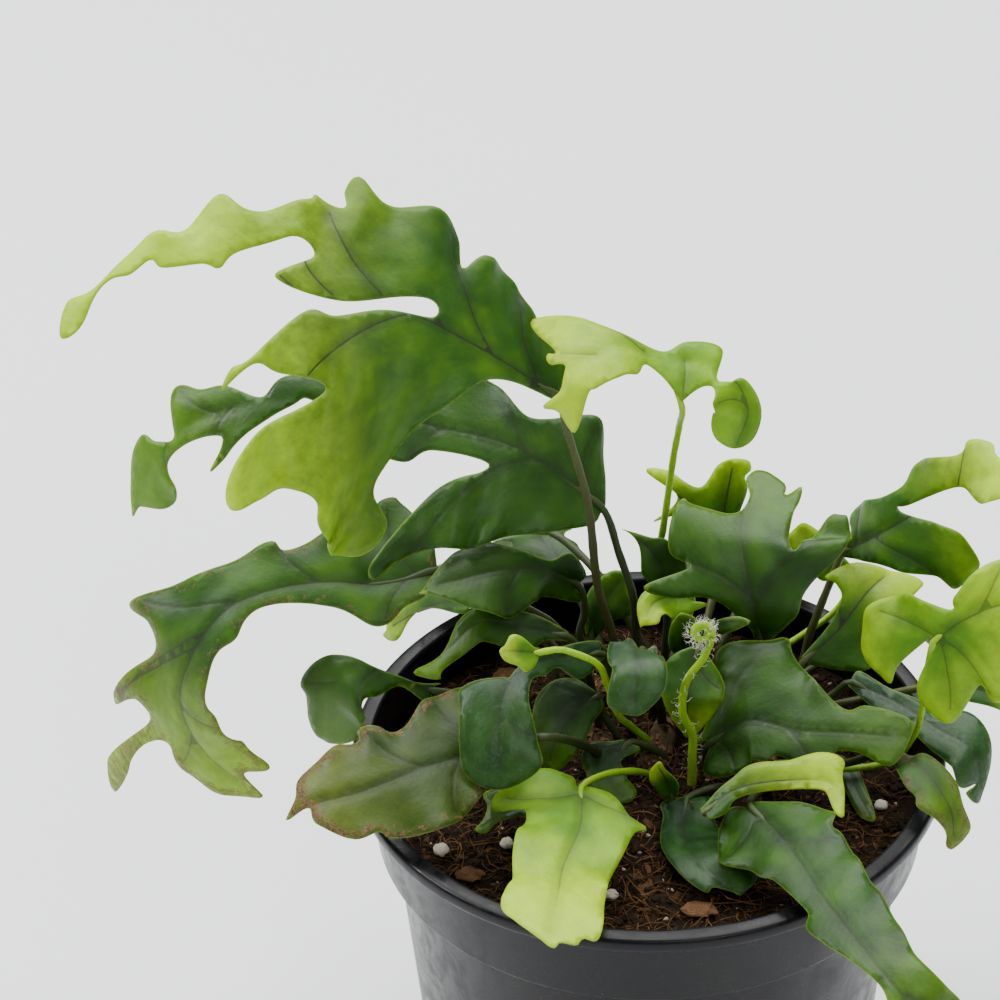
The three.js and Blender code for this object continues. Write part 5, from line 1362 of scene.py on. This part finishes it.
bark_brown = earthy_material("bark_brown", colour(0.035, 0.016, 0.008), colour(0.2, 0.1, 0.045), 0.45)
perlite_white = earthy_material("perlite_white", colour(0.34, 0.29, 0.2), colour(0.74, 0.7, 0.6), 0.9,
                                0.9, (1, 1, 1), 0.3)
for seed, name in enumerate(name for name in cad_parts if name.startswith(("bark_", "perlite_"))):
    corners = [np.array(corner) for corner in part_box(name)]
    is_bark = name.startswith("bark_")
    points, faces = rough_ball(*corners, 0.35 if is_bark else 0.25, seed + 9)
    finish, slot = (bark_brown, "bark") if is_bark else (perlite_white, "perlite")
    piece = mesh_piece(name + "_rough", points, faces, finish, None, smooth=not is_bark)
    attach(piece, "root")
    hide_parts(name)


# %% [markdown]
# ## The pot
#
# The pot is injection-moulded in black plastic, about 1.4 mm thick. Its section is one closed
# profile, turned about the axis: a rolled rim that stands out from a slightly tapered stacking
# collar, a step in to the body, which tapers to the base, and a foot ring with a raised floor that
# the drain holes go through. Rounded corners catch the light, so each corner of the profile is
# a small arc. The floor's holes are cut by eight drills in one boolean.

# %% Building the pot
def rounded(corners, radius, steps=4):
    """A profile with each inner corner replaced by a small curve that leaves and reaches it at
    `radius` from the corner: q(t) = (1 - t)^2 a + 2 t (1 - t) c + t^2 b."""
    corner = np.array(corners, dtype=float)
    path = [corner[:1]]
    t = np.linspace(0, 1, steps + 1)[:, None]
    for before, here, after in zip(corner, corner[1:], corner[2:]):
        reach = [min(radius, 0.45 * np.linalg.norm(end - here)) for end in (before, after)]
        a = here + unit(before - here) * reach[0]
        b = here + unit(after - here) * reach[1]
        path.append((1 - t) ** 2 * a + 2 * t * (1 - t) * here + t ** 2 * b)
    path.append(corner[-1:])
    return np.vstack(path)


def turned(name, profile, segments, material, slot):
    """A profile of (radius, height) points turned about the upright axis."""
    turn = 2 * np.pi * np.arange(segments)[None, :] / segments
    radius, height = profile[:, :1], profile[:, 1:]
    points = np.stack([radius * np.cos(turn), radius * np.sin(turn), height + 0 * turn], -1)
    faces = grid_faces(len(profile), segments, wrap=True)
    return mesh_piece(name, points.reshape(-1, 3), faces, material, None)


slope = (body_top - base_radius) / collar_bottom
inner_foot = base_radius - foot_width
base_edge = 0.8 * MM
pot_corners = [
    (0, 0), (pad_radius, 0), (pad_radius + 1 * MM, foot_height), (inner_foot - 1 * MM, foot_height),
    (inner_foot, 0), (base_radius - base_edge, 0), (base_radius, base_edge),
    (body_top, collar_bottom), (collar_radius - collar_taper, collar_bottom),
    (collar_radius, collar_top), (rim_radius - rim_round, collar_top),
    (rim_radius, collar_top + rim_round), (rim_radius, pot_height - rim_round),
    (rim_radius - rim_round, pot_height), (collar_radius - wall + rim_round, pot_height),
    (collar_radius - wall, collar_top), (collar_radius - collar_taper - wall, collar_bottom + wall),
    (body_top - wall, collar_bottom + wall),
    (base_radius + slope * floor_top - wall, floor_top), (0, floor_top)]


def black_plastic():
    """Satin black plastic: nearly black, with long faint scuffs, pale dust specks, and dried water
    marks that change its roughness."""
    material, start = new_material("black_plastic")
    place = object_millimetres(start)
    marks = place.noise(0.12, 5.0, 0.65, 1.2)
    scuffs = start.vector("MULTIPLY", place, (0.5, 0.5, 0.07)).noise(0.8, 5.0, 0.7)
    specks = place.noise(1.9, 2.0, 0.6).step(0.735, 0.77)
    orange_peel = place.noise(1.3, 2.0)
    base = marks.step(0.4, 0.7).mix(colour(0.003, 0.0028, 0.0034), colour(0.0065, 0.0062, 0.0078))
    dusty = (specks * 0.6).mix(base, colour(0.2, 0.15, 0.1))
    rough = 0.2 + 0.18 * marks.step(0.35, 0.7) + 0.12 * scuffs + 0.3 * specks
    normal = start.bump(orange_peel * 0.5 + specks + 0.3 * scuffs, 0.25, 0.15 * MM)
    finish_material(start, Base_Color=dusty, Roughness=rough, Normal=normal, Specular_IOR_Level=0.2)
    return material


plastic = black_plastic()
pot = turned("pot_body", rounded(pot_corners, 0.9 * MM), 160 if fine else 64, plastic, "black_plastic")
drills = []
for k in range(drain_holes):
    angle = 2 * np.pi * k / drain_holes
    rim = 2 * np.pi * np.arange(32)[None, :] / 32
    radius = np.array([0, 1, 1, 0])[:, None] * drain_radius
    height = np.array([-2, -2, 8, 8])[:, None] * MM + 0 * rim
    x = drain_circle * math.cos(angle) + radius * np.cos(rim)
    y = drain_circle * math.sin(angle) + radius * np.sin(rim)
    points = np.stack([x, y, height], -1).reshape(-1, 3)
    drills.append((points, grid_faces(4, 32, wrap=True)))
points, faces = join_arrays(drills)
drill = mesh_piece("drills", points, faces, plastic)
cut = pot.modifiers.new("drain_holes", "BOOLEAN")
cut.object = drill
cut.solver = "EXACT"
depsgraph = bpy.context.evaluated_depsgraph_get()
holed = bpy.data.meshes.new_from_object(pot.evaluated_get(depsgraph))
pot.modifiers.clear()
pot.data = holed
bpy.data.objects.remove(drill)
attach(pot, "root")
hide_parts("pot")
print("pot", len(holed.polygons), "faces")


# %% [markdown]
# ## Stage, light and camera
#
# The plant stands on a pale floor in soft studio light: one very large softbox overhead and behind,
# which gives the blades their sheen, a smaller one at the left, and a weak one in front. The camera
# looks down at about 38 degrees, close enough to frame the fronds and the front of the rim.

# %% Floor and light
floor_finish, start = new_material("floor_finish")
cloud = object_millimetres(start).noise(0.004, 2.0)
finish_material(start, Base_Color=cloud.mix(colour(0.86, 0.87, 0.88), colour(0.9, 0.905, 0.91)),
                Roughness=0.75)
half = 3.0
floor_points = np.array([(-half, -half, 0), (half, -half, 0), (half, half, 0), (-half, half, 0)])
floor = mesh_piece("floor", floor_points, np.array([(0, 1, 2, 3)]), floor_finish)

world = bpy.data.worlds.new("studio")
bpy.context.scene.world = world
world.use_nodes = True
world.node_tree.nodes["Background"].inputs["Color"].default_value = (0.93, 0.965, 1.0, 1.0)
world.node_tree.nodes["Background"].inputs["Strength"].default_value = 0.4


def softbox(name, place, aim, width, height, power):
    light = bpy.data.lights.new(name, "AREA")
    light.shape = "RECTANGLE"
    light.size, light.size_y = width, height
    light.energy = power
    lamp = bpy.data.objects.new(name, light)
    lamp.location = place
    lamp.rotation_euler = (Vector(aim) - Vector(place)).to_track_quat("-Z", "Y").to_euler()
    bpy.context.scene.collection.objects.link(lamp)


crown = Vector((0, 0, pot_height))
softbox("overhead", (0, 1.0, 2.2), crown, 2.5, 2.5, 130)
softbox("left", (-0.8, 0.1, 0.8), crown, 0.35, 0.35, 8)
softbox("front", (0.35, -0.8, 0.9), crown, 0.5, 0.3, 3)

# %% Camera
lens = bpy.data.cameras.new("camera")
lens.lens = 115.1
lens.sensor_width = 36
camera = bpy.data.objects.new("camera", lens)
bpy.context.scene.collection.objects.link(camera)
camera.location = (0, -0.508, pot_height + 0.405)
aim = Vector((-0.0285, 0, pot_height + 0.059)) - camera.location
roll = Matrix.Rotation(math.radians(-1.67), 4, "Z")
turn = aim.to_track_quat("-Z", "Y").to_matrix().to_4x4()
camera.matrix_world = Matrix.Translation(camera.location) @ turn @ roll
bpy.context.scene.camera = camera
